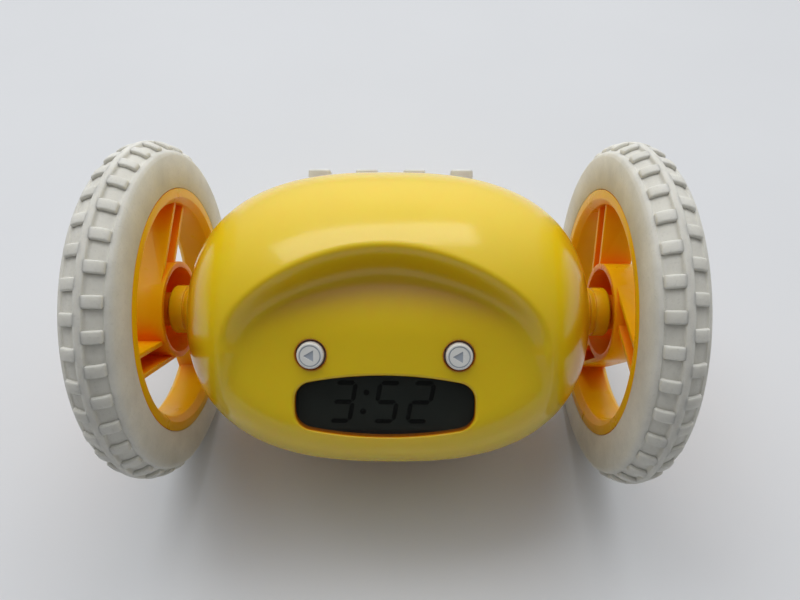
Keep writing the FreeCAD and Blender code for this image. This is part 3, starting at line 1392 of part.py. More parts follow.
def build_hub(side_name, side):
    """Rim, cup and three channel spokes that run beside the axle."""
    name = side_name + "_hub_"
    rim = turned(name + "rim", sided(side, [
        (RIM_NEAR, "rim_flat"), (RIM_NEAR, RIM_LIP_TOP),
        ("%s + rim_lip" % RIM_NEAR, RIM_LIP_TOP), ("%s + rim_lip" % RIM_NEAR, RIM_SEAT),
        ("%s - rim_lip" % RIM_FAR, RIM_SEAT), ("%s - rim_lip" % RIM_FAR, RIM_LIP_TOP),
        (RIM_FAR, RIM_LIP_TOP), (RIM_FAR, "rim_flat"),
        ("%s - %s" % (RIM_FAR, RIM_BEVEL), "rim_inner"), ("%s + %s" % (RIM_NEAR, RIM_BEVEL), "rim_inner"),
    ]))
    cup_edge = "wheel_gauge + cup_sink"
    boss_edge = "collar_end + boss_gap"
    cup_hollow = "cup_radius - cup_wall"
    middle = turned(name + "middle", sided(side, [
        (cup_edge, cup_hollow), (cup_edge, "cup_radius"), (HUB_FACE, "cup_radius"),
        (HUB_FACE, "head_well"), (WELL_FACE, "head_well"), (WELL_FACE, "wheel_screw + fit_gap"),
        (AXLE_END + " + seat_gap", "wheel_screw + fit_gap"),
        (AXLE_END + " + seat_gap", "axle_radius + press_gap"),
        (boss_edge, "axle_radius + press_gap"), (boss_edge, "boss_radius"),
        (FLOOR_INNER, "boss_radius"), (FLOOR_INNER, cup_hollow),
    ]))
    bodies = []
    hollows = []
    spoke_edge = "wheel_gauge + spoke_sink"
    outer_span = outward(side, spoke_edge, HUB_FACE)
    inner_span = outward(side, "wheel_gauge", FLOOR_INNER)
    centre = "%d * spoke_offset" % -side
    for index in range(SPOKES):
        turn = "%s_spoke_turn + %d" % (side_name, SPOKE_STEP * index)
        half = "spoke_width / 2"
        thin = "(spoke_width / 2 - spoke_wall)"
        bodies.append(block(
            "%sspoke_%d" % (name, index), outer_span, ("0", "rim_flat"),
            ("%s - %s" % (centre, half), "%s + %s" % (centre, half)), turn
        ))
        hollows.append(block(
            "%schannel_%d" % (name, index), inner_span, ("-spoke_wall", "rim_flat"),
            ("%s - %s" % (centre, thin), "%s + %s" % (centre, thin)), turn
        ))
    within = rod(name + "within", "(rim_inner + seat_radius) / 2", outer_span)
    inside = rod(name + "inside", "rim_inner", inner_span)
    spokes = common_of(name + "spokes", [joined(name + "spoke_blocks", bodies), within])
    channels = common_of(name + "channels", [joined(name + "channel_blocks", hollows), inside])
    cup_inside = rod(name + "cup_inside", cup_hollow, outward(side, "wheel_gauge", FLOOR_INNER))
    open_spokes = cut_from(name + "open_spokes", spokes, [cup_inside, rod(name + "well", "head_well", outer_span)])
    whole = joined(name + "whole", [rim, middle, open_spokes])
    outside_cup = cut_from(name + "outer_channels", channels, [rod(name + "cup_outside", "cup_radius", inner_span)])
    return cut_from(side_name + "_wheel_hub", whole, [outside_cup])


def build_tyre(side_name, side):
    name = side_name + "_tyre"
    far = "wheel_gauge + tyre_width"
    middle = "wheel_gauge + tyre_width / 2"
    base = "tread_radius - tread_depth"
    lip = "rim_lip + 3 * seat_gap"
    near_curve = []
    far_curve = []
    for turn in (0, 30, 60, 90):
        inwards = "shoulder_in * (1 - cos(%ddeg))" % turn
        radius = "%s - shoulder_drop * (1 - sin(%ddeg))" % (base, turn)
        near_curve.append(("wheel_gauge + " + inwards, radius))
        far_curve.insert(0, ("%s - %s" % (far, inwards), radius))
    corners = [("wheel_gauge", "bead_radius")] + near_curve
    corners += [
        (middle + " - tread_rib", base), (middle + " - tread_rib", "tread_radius"),
        (middle + " + tread_rib", "tread_radius"), (middle + " + tread_rib", base),
    ]
    corners += far_curve
    corners += [
        (far, "bead_radius"), ("%s - (%s)" % (far, lip), "bead_radius"), ("%s - (%s)" % (far, lip), "seat_radius"),
        ("wheel_gauge + %s" % lip, "seat_radius"), ("wheel_gauge + %s" % lip, "bead_radius"),
    ]
    tyre = turned(name, sided(side, corners))
    pitch = "360deg / tread_blocks"
    for row_name, row, share in (("near", -1, "0"), ("far", 1, "0.5")):
        if row == 1:
            row_span = outward(side, middle + " + tread_rib / 2", middle + " + block_end")
        else:
            row_span = outward(side, middle + " - block_end", middle + " - tread_rib / 2")
        outline = new_sketch(tyre, "YZ_Plane", row_span[0])
        half = "block_width / 2"
        top = "tread_radius - 0.05"
        low = "tread_radius - tread_depth - shoulder_drop"
        corner = "tread_depth / 4"
        section = [
            (low, "-" + half), ("%s - %s" % (top, corner), "-" + half),
            (top, "%s - %s" % (corner, half)), (top, "%s - %s" % (half, corner)),
            ("%s - %s" % (top, corner), half), (low, half),
        ]
        lean = "(%s * %s)" % (share, pitch)
        turned_section = []
        for out, beside in section:
            x = "(%s) * cos(%s) - (%s) * sin(%s)" % (out, lean, beside, lean)
            y = "(%s) * sin(%s) + (%s) * cos(%s)" % (out, lean, beside, lean)
            turned_section.append((x, y))
        draw_outline(outline, turned_section)
        tread_block = tyre.newObject("PartDesign::Pad", "%s_%s_block" % (name, row_name))
        tread_block.Profile = outline
        tread_block.setExpression("Length", formula("(%s) - (%s)" % (row_span[1], row_span[0])))
        repeat_round(tyre, tread_block, outline, "tread_blocks")
    return tyre


for side_name, side in SIDES:
    build_axle_group(side_name, side)
    keep(place_about_axle(build_hub(side_name, side)), side_name + "_wheel_hub")
    tread_turn = side_name + "_tread_turn"
    keep(place_about_axle(build_tyre(side_name, side), tread_turn), side_name + "_tyre")

    head_face = WELL_FACE + " + seat_gap"
    shank_span = outward(side, AXLE_END + " - wheel_screw_grip + seat_gap", head_face)
    head_span = outward(side, head_face, head_face + " + wheel_head_high")
    wheel_screw = joined(side_name + "_wheel_screw", [
        rod(side_name + "_wheel_screw_shank", "wheel_screw", shank_span),
        rod(side_name + "_wheel_screw_head", "wheel_head", head_span),
    ])
    keep(place_about_axle(wheel_screw), side_name + "_wheel_screw")

    cap_span = outward(side, HUB_FACE + " + seat_gap", HUB_FACE + " + seat_gap + cap_thick")
    plug_span = outward(side, HUB_FACE + " + seat_gap - cap_plug", HUB_FACE + " + seat_gap + cap_thick")
    hub_cap = joined(side_name + "_hub_cap", [
        rod(side_name + "_cap_disc", "cap_radius", cap_span),
        rod(side_name + "_cap_plug", "head_well - fit_gap", plug_span),
    ])
    keep(place_about_axle(hub_cap), side_name + "_hub_cap")

# ---------------------------------------------------------------- check and write

doc.recompute()
for thing in doc.Objects:
    if "Invalid" in thing.State or "Error" in thing.State:
        raise ValueError("%s is in state %s" % (thing.Label, thing.State))
for thing in nodes:
    if thing.Shape.isNull() or not thing.Shape.isValid() or not thing.Shape.Solids:
        raise ValueError("%s has no valid solid" % thing.Label)

os.makedirs("parts", exist_ok=True)
for thing in nodes:
    thing.Shape.exportStep("parts/%s.step" % thing.Label)
print("%d pieces written" % len(nodes))
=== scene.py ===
import json
import math

import bpy
from mathutils import Matrix, Vector

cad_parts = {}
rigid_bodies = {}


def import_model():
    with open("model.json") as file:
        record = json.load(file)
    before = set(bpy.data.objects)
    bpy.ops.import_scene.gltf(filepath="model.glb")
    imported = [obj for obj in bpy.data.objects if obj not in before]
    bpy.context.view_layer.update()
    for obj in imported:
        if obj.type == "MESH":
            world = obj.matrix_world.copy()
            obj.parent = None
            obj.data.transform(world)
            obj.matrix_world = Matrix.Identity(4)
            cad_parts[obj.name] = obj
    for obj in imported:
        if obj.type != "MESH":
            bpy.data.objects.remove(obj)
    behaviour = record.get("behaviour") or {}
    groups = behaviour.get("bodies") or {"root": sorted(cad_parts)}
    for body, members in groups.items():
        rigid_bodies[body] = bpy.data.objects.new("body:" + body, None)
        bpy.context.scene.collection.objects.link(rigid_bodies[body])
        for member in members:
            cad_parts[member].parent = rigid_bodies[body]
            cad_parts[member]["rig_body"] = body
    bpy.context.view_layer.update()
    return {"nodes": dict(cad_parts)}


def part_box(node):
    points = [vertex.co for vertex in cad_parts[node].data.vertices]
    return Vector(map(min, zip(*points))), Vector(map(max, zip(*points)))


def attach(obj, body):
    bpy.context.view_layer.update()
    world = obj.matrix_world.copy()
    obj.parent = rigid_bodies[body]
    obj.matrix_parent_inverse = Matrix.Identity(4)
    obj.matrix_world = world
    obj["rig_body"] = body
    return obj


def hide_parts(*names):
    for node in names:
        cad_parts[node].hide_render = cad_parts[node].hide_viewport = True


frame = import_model()

bl_info = {
    "name": "Runaway alarm clock",
    "version": (1, 0, 0),
    "blender": (4, 5, 0),
    "location": "3D View > Sidebar > Clock",
    "description": "Dresses the packed clock: moulded shells, treaded wheels, display, keys and works",
    "category": "Object",
}

MM = 0.001


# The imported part's tyres, the tilt of the body and of its face, and the body's own frame on the axle.
TYRE_LOW, TYRE_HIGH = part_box("left_tyre")
TREAD_RADIUS = (TYRE_HIGH.z - TYRE_LOW.z) / 2
TYRE_NEAR, TYRE_FAR = -TYRE_HIGH.x, -TYRE_LOW.x
BODY_TILT = math.radians(38.0)
FACE_TILT = math.radians(9.0)
HULL_FRAME = Matrix.Translation((0, 0, TREAD_RADIUS)) @ Matrix.Rotation(BODY_TILT, 4, "X")

# Steps round a rounded edge, and from the body's curve to the hole in its flat end.
CURLS = (0.33, 0.67, 1.0)
CAP_STEPS = (0.25, 0.5, 0.75, 1.0)
# Cutters for the face reach this far into it and out of it.
CUT_IN, CUT_OUT = 6 * MM, 5 * MM
EYE_FLARE = 0.45 * MM
# The rounded edge of the window's opening, in shares of its bevel: how far grown, and how high.
WINDOW_EDGE = ((0, -1), (0.12, -0.55), (0.42, -0.2), (1, 0.03), (1.8, 0.35), (5, 2.4))
WINDOW_PLAY, WINDOW_CHAMFER = 0.12 * MM, 0.15 * MM
WINDOW_RIM, RIM_PLAY, RIM_STEP = 0.8 * MM, 0.05 * MM, 0.02 * MM
# Case screws: the sleeve round each, the plastic under its head, and its hole.
SLEEVE_RADIUS, SLEEVE_LENGTH, SLEEVE_FLOOR = 4.0 * MM, 30 * MM, 1.6 * MM
THREAD_RADIUS, THREAD_LENGTH, WELL_LENGTH = 1.22 * MM, 8 * MM, 40 * MM
# The sleeves end at this share of the way to the rear surface.
SLEEVE_LIMIT = 0.985
PANEL_CUT, DOOR_TOP, SOUND_CUT = 5 * MM, 22 * MM, 12 * MM
# Tyres: the chamfer, the step in the outline, and how far a bar's top and root lie below the tread.
TYRE_EDGE, TYRE_STEP = 0.25 * MM, 0.1 * MM
BAR_BELOW, BAR_ROOT = 0.05 * MM, 0.25 * MM
# An engraved mark lies between these depths below a button's top.
MARK_DEPTHS = (0.1 * MM, 0.3 * MM)
# The main lamp and the floor, in metres, and the tint of the room's light.
LAMP_PLACE, LAMP_AIM, LAMP_SIZE = (-0.10, 0.35, 0.86), (0, 0, 0.05), (1.00, 0.32)
FLOOR_SIZE = 6.0
ROOM_TINT = (0.97, 0.985, 1.0, 1)


# ---------------------------------------------------------------- sizes and colours

def length(name, description, value):
    """A length property whose default is given in millimetres."""
    return bpy.props.FloatProperty(
        name=name, description=description, default=value * MM, unit="LENGTH", precision=5
    )


def angle(name, description, value):
    """An angle property whose default is given in degrees."""
    return bpy.props.FloatProperty(
        name=name, description=description, default=math.radians(value), subtype="ANGLE"
    )


def number(name, description, value):
    return bpy.props.FloatProperty(name=name, description=description, default=value)


def colour(name, description, value):
    return bpy.props.FloatVectorProperty(
        name=name, description=description, default=value, subtype="COLOR", size=3, min=0, max=1
    )


class ClockBodySizes(bpy.types.PropertyGroup):
    """The curve of the body and the scoop of its face."""

    shell_radius: length("Body radius", "Largest radius of the body", 38.2)
    shell_reach: length("Body reach", "Half length of the body's curve", 51.5)
    shell_end: length("Body end", "Centre plane to the flat end of the body", 50.2)
    shell_drop: length("Body drop", "Body's axis below the axle", 1.5)
    shell_wall: length("Wall", "Thickness of the mouldings", 2.0)
    split_gap: length("Split", "Groove between the two shells", 0.2)
    edge_round: length("Edge", "Rounding along the split line", 0.35)
    collar_hole: length("Collar hole", "Radius of the hole round the collar", 6.62)
    shell_power: number("Power", "How square the body's curve is", 2.6)
    face_level: length("Face level", "Height of the face above the split line", 25.55)
    face_place: length("Face place", "Where the face has that height", -22.5)
    brow_width: length("Brow width", "Half width of the scoop at the eyes", 31.7)
    brow_arch: length("Brow arch", "Rise of the brow above the scoop's widest line", 15.0)
    brow_line: length("Brow line", "The scoop's widest line", -9.0)
    brow_edge: length("Brow edge", "Radius where the scoop meets the brow", 2.5)
    brow_soft: length("Brow blend", "How widely scoop and body are blended", 4.3)
    hollow_start: length("Hollow start", "Where the face sinks towards the brow", -6.0)
    hollow_radius: length("Hollow radius", "Radius of that hollow", 23.0)
    cheek_spread: number("Cheek spread", "How fast the scoop widens below the eyes", 0.3)


class ClockPieceSizes(bpy.types.PropertyGroup):
    """Openings, buttons, display and wheels."""

    eye_spread: length("Eye spread", "Centre plane to an eye button", 16.8)
    eye_up: length("Eye height", "Eye buttons above the face's origin", 12.95)
    eye_slim: number("Eye slimness", "Width of a button in its hole", 0.93)
    eye_hole: length("Eye hole", "Radius of the hole round an eye button", 3.46)
    window_width: length("Window width", "Half width of the display opening", 20.2)
    window_height: length("Window height", "Half height in the middle", 7.35)
    window_side: length("Window side", "Half height at the sides", 5.05)
    window_bow: length("Window bow", "Bulge of the opening's short sides", 0.5)
    window_corner: length("Window corner", "Corner radius of the opening", 4.2)
    window_up: length("Window place", "Centre of the opening above the face's origin", 0.7)
    window_sink: length("Window sink", "Front of the clear window below the face", 0.6)
    window_lip: length("Window lip", "Rim of the clear window behind the face", 1.1)
    window_bevel: length("Window bevel", "Bevel round the opening", 0.8)
    panel_width: length("Panel width", "Half width of the key panel", 27.0)
    panel_depth: length("Panel depth", "Key panel behind the split line", 15.0)
    door_width: length("Door width", "Half length of the battery door", 25.5)
    door_reach: length("Door reach", "Half width of the battery door", 22.8)
    door_front: length("Door place", "Middle of the door in front of the axle", 1.7)
    case_post_x: length("Screw place", "Centre plane to the case screws", 33.0)
    case_post_top: length("Upper screws", "Upper case screws above the axle", 23.0)
    case_post_low: length("Lower screws", "Lower case screws below the axle", 27.0)
    case_hole: length("Screw hole", "Radius of a case screw's hole", 2.62)
    case_seat: length("Screw seat", "Seat of a case screw behind the split line", 12.0)
    sound_hole: length("Sound hole", "Radius of a sound hole", 0.9)
    sound_pitch: length("Sound pitch", "From one sound hole to the next", 3.6)
    tread_depth: length("Tread depth", "Height of the tread bars", 1.0)
    tread_rib: length("Tread rib", "Half width of the rib in the middle", 0.9)
    bar_width: length("Bar width", "Tread bar measured round the tyre", 2.8)
    bar_end: length("Bar end", "Outer end of a bar from the tyre's middle", 4.45)
    bar_round: length("Bar rounding", "Soft edges of a tread bar", 0.42)
    crown_radius: length("Crown", "Radius of the domed tread across the tyre", 7.6)
    shoulder_dip: length("Shoulder dip", "Smooth shoulders below the domed tread", 0.45)
    bead_radius: length("Bead", "Where the side of the tyre meets the rim", 32.6)
    seat_radius: length("Seat", "Radius of the tyre's seat on the rim", 30.5)
    rim_lip: length("Rim lip", "Thickness of the rim's lips", 1.65)
    soft_edge: length("Soft edge", "Rounding of moulded edges", 0.3)
    fine_edge: length("Fine edge", "Rounding of small and metal edges", 0.12)
    tread_bars: bpy.props.IntProperty(name="Bars", description="Tread bars in each row", default=38)
    sound_angle: angle("Sound turn", "Turn of the speaker from the split line's front", 142.0)
    left_tread_turn: angle("Left tread", "Turn of the left tread", 2.0)
    right_tread_turn: angle("Right tread", "Turn of the right tread", 5.1)


class ClockColours(bpy.types.PropertyGroup):
    """Colours of the mouldings, rubber, display and works, and the painted shade in the hollows of body and hubs.
    """

    body_yellow: colour("Body", "Bright yellow shells", (0.82, 0.575, 0.010))
    # Painted shade: the next two are the darker tints painted into the hollows of the body and the hubs.
    body_painted_shade: colour("Body hollows", "Yellow plastic deep in a hollow", (0.46, 0.13, 0.003))
    hub_painted_shade: colour("Hub hollows", "Orange plastic deep in a hollow", (0.92, 0.24, 0.001))
    hub_orange: colour("Hub", "Orange yellow wheels", (0.93, 0.46, 0.002))
    collar_yellow: colour("Collar", "Collar between body and wheel", (0.92, 0.53, 0.004))
    tyre_grey: colour("Tyre", "Pale rubber", (0.73, 0.71, 0.64))
    button_white: colour("Eye button", "White buttons", (0.80, 0.80, 0.77))
    button_mark: colour("Button mark", "Paint in the engraved marks", (0.42, 0.46, 0.52))
    key_grey: colour("Rear key", "Translucent keys", (0.66, 0.66, 0.64))
    display_dark: colour("Display", "Liquid crystal glass", (0.050, 0.058, 0.050))
    numeral_black: colour("Numerals", "Segments", (0.002, 0.002, 0.002))
    window_tint: colour("Window", "Smoked window", (0.012, 0.014, 0.012))
    steel_grey: colour("Steel", "Plated steel", (0.60, 0.60, 0.62))
    bronze_brown: colour("Bronze", "Sintered bronze", (0.56, 0.36, 0.14))
    circuit_green: colour("Circuit board", "Green board", (0.012, 0.11, 0.03))
    chip_black: colour("Chip", "Moulded package", (0.012, 0.012, 0.013))
    gear_white: colour("Gear", "White acetal", (0.78, 0.77, 0.70))
    frame_black: colour("Frame", "Black moulded frames", (0.018, 0.018, 0.02))
    cell_blue: colour("Cell", "Printed sleeve of a cell", (0.03, 0.09, 0.25))
    strip_grey: colour("Connector", "Layered conductive rubber", (0.10, 0.10, 0.11))
    paper_black: colour("Speaker", "Speaker cone and basket", (0.02, 0.02, 0.022))


class ClockStage(bpy.types.PropertyGroup):
    """Camera, lamp, room and floor."""

    lens: bpy.props.FloatProperty(name="Lens", description="Focal length", default=26.91, unit="CAMERA")
    camera_right: length("Camera right", "Camera off the centre plane", 5.33)
    camera_up: length("Camera up", "Camera above the axle in its own tilt", 2.85)
    camera_back: length("Camera back", "Camera from the axle", 162.46)
    camera_yaw: angle("Yaw", "Turn of the camera", 0.83)
    camera_roll: angle("Roll", "Roll of the camera", 0.35)
    key_power: bpy.props.FloatProperty(name="Key lamp", description="Main soft lamp", default=2.9, unit="POWER")
    room_bright: number("Bright side", "Room above and behind", 1.7)
    room_dim: number("Dim side", "Room in front of the clock", 0.16)
    room_lean: angle("Room lean", "How far the bright side leans backwards", 42)
    floor_colour: colour("Floor", "Plain pale floor", (0.67, 0.68, 0.70))


GROUPS = (ClockBodySizes, ClockPieceSizes, ClockColours, ClockStage)
SLOTS = ("clock_body", "clock_pieces", "clock_colours", "clock_stage")


def body_sizes():
    return bpy.context.scene.clock_body


def piece_sizes():
    return bpy.context.scene.clock_pieces


def colours():
    return bpy.context.scene.clock_colours


def face_frame():
    """The face's own frame: origin in the middle of the face, X across, Y up the face, Z out of it."""
    sizes = body_sizes()
    to_face = Matrix.Translation((0, sizes.face_place, sizes.face_level))
    return HULL_FRAME @ to_face @ Matrix.Rotation(FACE_TILT, 4, "X")


# ---------------------------------------------------------------- modelling helpers

def select_only(*pieces):
    for other in bpy.context.selected_objects:
        other.select_set(False)
    for piece in pieces:
        piece.select_set(True)
    bpy.context.view_layer.objects.active = pieces[-1]


def deselect():
    bpy.ops.object.select_all(action="DESELECT")


def added(name):
    """The primitive that was just added, under its own name."""
    piece = bpy.context.object
    piece.name = name
    piece.data.name = name
    return piece


def seated(piece, placement):
    """Moves a piece from its own frame to its place, in its mesh."""
    piece.matrix_world = placement
    select_only(piece)
    bpy.ops.object.transform_apply(location=True, rotation=True, scale=True)
    return piece


def in_edit(piece, mode="VERT", action="SELECT"):
    """Opens a piece in edit mode with all or none of it selected."""
    select_only(piece)
    bpy.ops.object.mode_set(mode="EDIT")
    bpy.ops.mesh.select_mode(type=mode)
    bpy.ops.mesh.select_all(action=action)


def out_of_edit():
    bpy.ops.object.mode_set(mode="OBJECT")


def close_up(piece):
    """Merges doubled vertices and points the faces outwards."""
    in_edit(piece)
    bpy.ops.mesh.remove_doubles(threshold=1e-7)
    bpy.ops.mesh.normals_make_consistent(inside=False)
    out_of_edit()
    return piece


def apply_modifier(piece, kind, **settings):
    """Adds a modifier with these settings and applies it."""
    modifier = piece.modifiers.new(kind.title(), kind)
    for name, value in settings.items():
        setattr(modifier, name, value)
    select_only(piece)
    bpy.ops.object.modifier_apply(modifier=modifier.name)


def smooth(piece, degrees=35):
    select_only(piece)
    bpy.ops.object.shade_smooth_by_angle(angle=math.radians(degrees))


def finished(piece, body, finish, *nodes):
    """Gives a piece its finish and its body, and lets it stand for CAD nodes."""
    piece.data.materials.clear()
    piece.data.materials.append(finish)
    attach(piece, body)
    if nodes:
        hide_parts(*nodes)
    return piece


def copied(node):
    """A CAD node, and a copy of it that will stand for it."""
    source = frame["nodes"][node]
    piece = bpy.data.objects.new(node + "_moulding", source.data.copy())
    bpy.context.scene.collection.objects.link(piece)
    return source, piece


def rounded_copy(node, finish, width, segments=2):
    """A copy of a CAD node with its hard edges rounded, which then stands for the node."""
    source, piece = copied(node)
    select_only(piece)
    if piece.data.has_custom_normals:
        bpy.ops.mesh.customdata_custom_splitnormals_clear()
    in_edit(piece)
    bpy.ops.mesh.remove_doubles(threshold=2e-6)
    bpy.ops.mesh.dissolve_limited(angle_limit=math.radians(1.0))
    out_of_edit()
    apply_modifier(
        piece, "BEVEL", width=width, segments=segments, limit_method="ANGLE",
        angle_limit=math.radians(30), use_clamp_overlap=True, miter_outer="MITER_ARC"
    )
    smooth(piece)
    return finished(piece, source["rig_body"], finish, node)


def dress(node, finish):
    """Puts a finish on a CAD node as it is."""
    piece = frame["nodes"][node]
    piece.data.materials.clear()
    piece.data.materials.append(finish)
    return piece


def ring(name, spots):
    """A closed ring of edges through these points."""
    deselect()
    bpy.ops.mesh.primitive_circle_add(vertices=len(spots), radius=0.01, fill_type="NOTHING")
    piece = added(name)
    for vertex, spot in zip(piece.data.vertices, spots):
        vertex.co = spot
    return piece


def capped(piece):
    """Closes a piece over its open edges."""
    in_edit(piece, "EDGE", "DESELECT")
    bpy.ops.mesh.select_non_manifold(extend=False)
    bpy.ops.mesh.edge_face_add()
    out_of_edit()
    return close_up(piece)


def spun(name, outline, steps, axis):
    """A closed piece turned round an axis from the points of its outline."""
    piece = ring(name, outline)
    in_edit(piece)
    bpy.ops.mesh.spin(steps=steps, angle=math.tau, center=(0, 0, 0), axis=axis)
    out_of_edit()
    return close_up(piece)


def joined(name, pieces):
    select_only(*pieces)
    bpy.ops.object.join()
    return added(name)


def combined(piece, other, operation="DIFFERENCE"):
    """Cuts one closed piece out of another, or keeps what they share, and drops the other."""
    apply_modifier(piece, "BOOLEAN", operation=operation, solver="EXACT", object=other)
    bpy.data.objects.remove(other)
    return piece


# ---------------------------------------------------------------- finishes

def fill(tree, node, inputs):
    """Sets or links the inputs of a shader node."""
    for name, value in inputs.items():
        if isinstance(value, bpy.types.NodeSocket):
            tree.links.new(value, node.inputs[name])
        else:
            node.inputs[name].default_value = value
    return node


def shade_node(tree, kind, inputs=None, **settings):
    """A new shader node with its settings and inputs."""
    node = tree.nodes.new("ShaderNode" + kind)
    for name, value in settings.items():
        setattr(node, name, value)
    return fill(tree, node, inputs or {})


def new_finish(name):
    """A node material with its shader, ready for detail."""
    material = bpy.data.materials.new(name)
    material.use_nodes = True
    tree = material.node_tree
    tree.nodes.clear()
    shader = shade_node(tree, "BsdfPrincipled")
    shade_node(tree, "OutputMaterial", {"Surface": shader.outputs["BSDF"]})
    return material, tree, shader


def existing(material, kind):
    return next(node for node in material.node_tree.nodes if node.type == kind)


def object_place(tree, scale=(1, 1, 1), turn=(0, 0, 0)):
    """Object coordinates, stretched and turned."""
    place = shade_node(tree, "TexCoord").outputs["Object"]
    return shade_node(tree, "Mapping", {"Vector": place, "Scale": scale, "Rotation": turn}).outputs["Vector"]


def noise(tree, place, scale, detail, roughness=0.5):
    return shade_node(tree, "TexNoise", {
        "Vector": place, "Scale": scale, "Detail": detail, "Roughness": roughness
    }).outputs["Fac"]


def ramp(tree, value, low, high, start=0.3, end=0.7):
    """Spreads a texture value over a range."""
    return shade_node(tree, "MapRange", {
        "Value": value, "From Min": start, "From Max": end, "To Min": low, "To Max": high
    }).outputs["Result"]


def blend_colours(tree, factor, first, second):
    """A mix of two colours, each plain or from another node, by a texture value."""
    first, second = (
        shade if isinstance(shade, bpy.types.NodeSocket) else (*shade, 1) for shade in (first, second)
    )
    return shade_node(tree, "Mix", {"Factor": factor, "A": first, "B": second}, data_type="RGBA").outputs["Result"]


def darker(shade, share):
    return tuple(channel * share for channel in shade)


def relief(tree, shader, height, depth, before=None):
    """Small relief on the surface, with its depth in metres."""
    normal = shade_node(tree, "Bump", {"Strength": 1.0, "Distance": depth, "Height": height})
    if before:
        fill(tree, normal, {"Normal": before})
    fill(tree, shader, {"Normal": normal.outputs["Normal"]})
    return normal.outputs["Normal"]


def mottled(name, shades, cloud, gloss, handled=None, spread=(0, 1), bumps=(), plain=None):
    """A finish whose colour follows a noise, and its gloss that noise or a second one.

    A noise is its scale, detail and roughness, and a bump its depth and a noise. Plain inputs are the same
    all over.
    """
    material, tree, shader = new_finish(name)
    place = object_place(tree)
    cloudy = noise(tree, place, *cloud)
    worn = noise(tree, place, *handled) if handled else cloudy
    fill(tree, shader, {
        "Base Color": blend_colours(tree, ramp(tree, cloudy, *spread), *shades),
        "Roughness": ramp(tree, worn, *gloss), **(plain or {}),
    })
    before = None
    for depth, *grain in bumps:
        before = relief(tree, shader, noise(tree, place, *grain), depth, before)
    return material


def let_glow(material, weight, warmth, reach):
    """Lets light wander under the surface, warm colours farthest."""
    fill(material.node_tree, existing(material, "BSDF_PRINCIPLED"), {
        "Subsurface Weight": weight, "Subsurface Radius": warmth, "Subsurface Scale": reach
    })
    return material


def paint_hollow_shade(material, shade, reach):
    """Paints shade into the plastic's colour: a deeper, darker tint where its hollows are occluded, in place of
    light bounced within them.
    """
    tree = material.node_tree
    surface = existing(material, "BSDF_PRINCIPLED").inputs["Base Color"]
    # Painted shade: ambient occlusion sets how far the colour turns to the shade tint.
    hollow = shade_node(tree, "AmbientOcclusion", {"Distance": reach}).outputs["AO"]
    unshaded_share = ramp(tree, hollow, 0, 1, 0.5, 0.97)
    tree.links.new(blend_colours(tree, unshaded_share, shade, surface.links[0].from_socket), surface)


def moulded_plastic(name, shade, gloss, grain, wear, shine=0.45):
    """Injection moulded plastic: a faint orange peel, uneven gloss and slightly uneven colour."""
    return mottled(
        name, (darker(shade, wear), shade), (35, 3), (gloss - 0.05, gloss + 0.07), handled=(180, 5, 0.6),
        bumps=((grain * 2, 900, 2), (grain, 3800, 3)), plain={"Specular IOR Level": shine}
    )


def body_plastic():
    material = moulded_plastic("body_plastic", colours().body_yellow, 0.15, 0.000006, 0.95)
    # Painted shade: a darker orange tint in the body's hollows, such as under the brow.
    paint_hollow_shade(material, colours().body_painted_shade, 0.015)
    return let_glow(material, 0.35, (1.0, 0.35, 0.03), 0.004)


def hub_plastic():
    material = moulded_plastic("hub_plastic", colours().hub_orange, 0.30, 0.000008, 0.92, 0.15)
    # Painted shade: a darker red-orange tint in the hubs' cups and channels.
    paint_hollow_shade(material, colours().hub_painted_shade, 0.008)
    return let_glow(material, 0.55, (1.0, 0.45, 0.03), 0.004)


def collar_plastic():
    material = moulded_plastic("collar_plastic", colours().collar_yellow, 0.30, 0.000008, 0.92, 0.25)
    return let_glow(material, 0.4, (1.0, 0.45, 0.03), 0.003)


def white_plastic():
    return moulded_plastic("white_button_plastic", colours().button_white, 0.30, 0.000008, 0.96)


def frame_plastic():
    return moulded_plastic("black_frame_plastic", colours().frame_black, 0.50, 0.00003, 0.7)


def gear_plastic():
    return moulded_plastic("gear_acetal", colours().gear_white, 0.42, 0.000015, 0.92)


def tyre_rubber():
    """Pale rubber with a fine moulded grain, dusty patches and darker specks."""
    material, tree, shader = new_finish("tyre_rubber")
    shade = colours().tyre_grey
    place = object_place(tree)
    dust = noise(tree, place, 90, 6, 0.62)
    specks = ramp(tree, noise(tree, place, 1400, 4, 0.7), 0, 0.55, 0.55, 0.8)
    patchy = blend_colours(tree, ramp(tree, dust, 0, 1), darker(shade, 0.80), shade)
    fill(tree, shader, {
        "Base Color": blend_colours(tree, specks, patchy, darker(shade, 0.62)),
        "Roughness": ramp(tree, dust, 0.62, 0.80), "Specular IOR Level": 0.35,
    })
    grain = relief(tree, shader, noise(tree, place, 2600, 4, 0.65), 0.00003)
    relief(tree, shader, noise(tree, place, 420, 3), 0.00004, grain)
    return let_glow(material, 0.4, (1.0, 0.94, 0.82), 0.003)


def key_silicone():
    """Translucent grey rubber with a satin skin."""
    shade = colours().key_grey
    material = mottled(
        "key_silicone", (darker(shade, 0.9), shade), (240, 3), (0.32, 0.48), handled=(900, 4),
        bumps=((0.00001, 3000, 3),)
    )
    return let_glow(material, 0.55, (1.0, 1.0, 0.95), 0.0015)


def smoked_window():
    """Clear tinted plastic with faint wipe marks."""
    shade = colours().window_tint
    return mottled(
        "smoked_window", (darker(shade, 0.8), shade), (500, 5, 0.7), (0.03, 0.10),
        bumps=((0.000006, 90, 2),), plain={"Alpha": 0.2}
    )


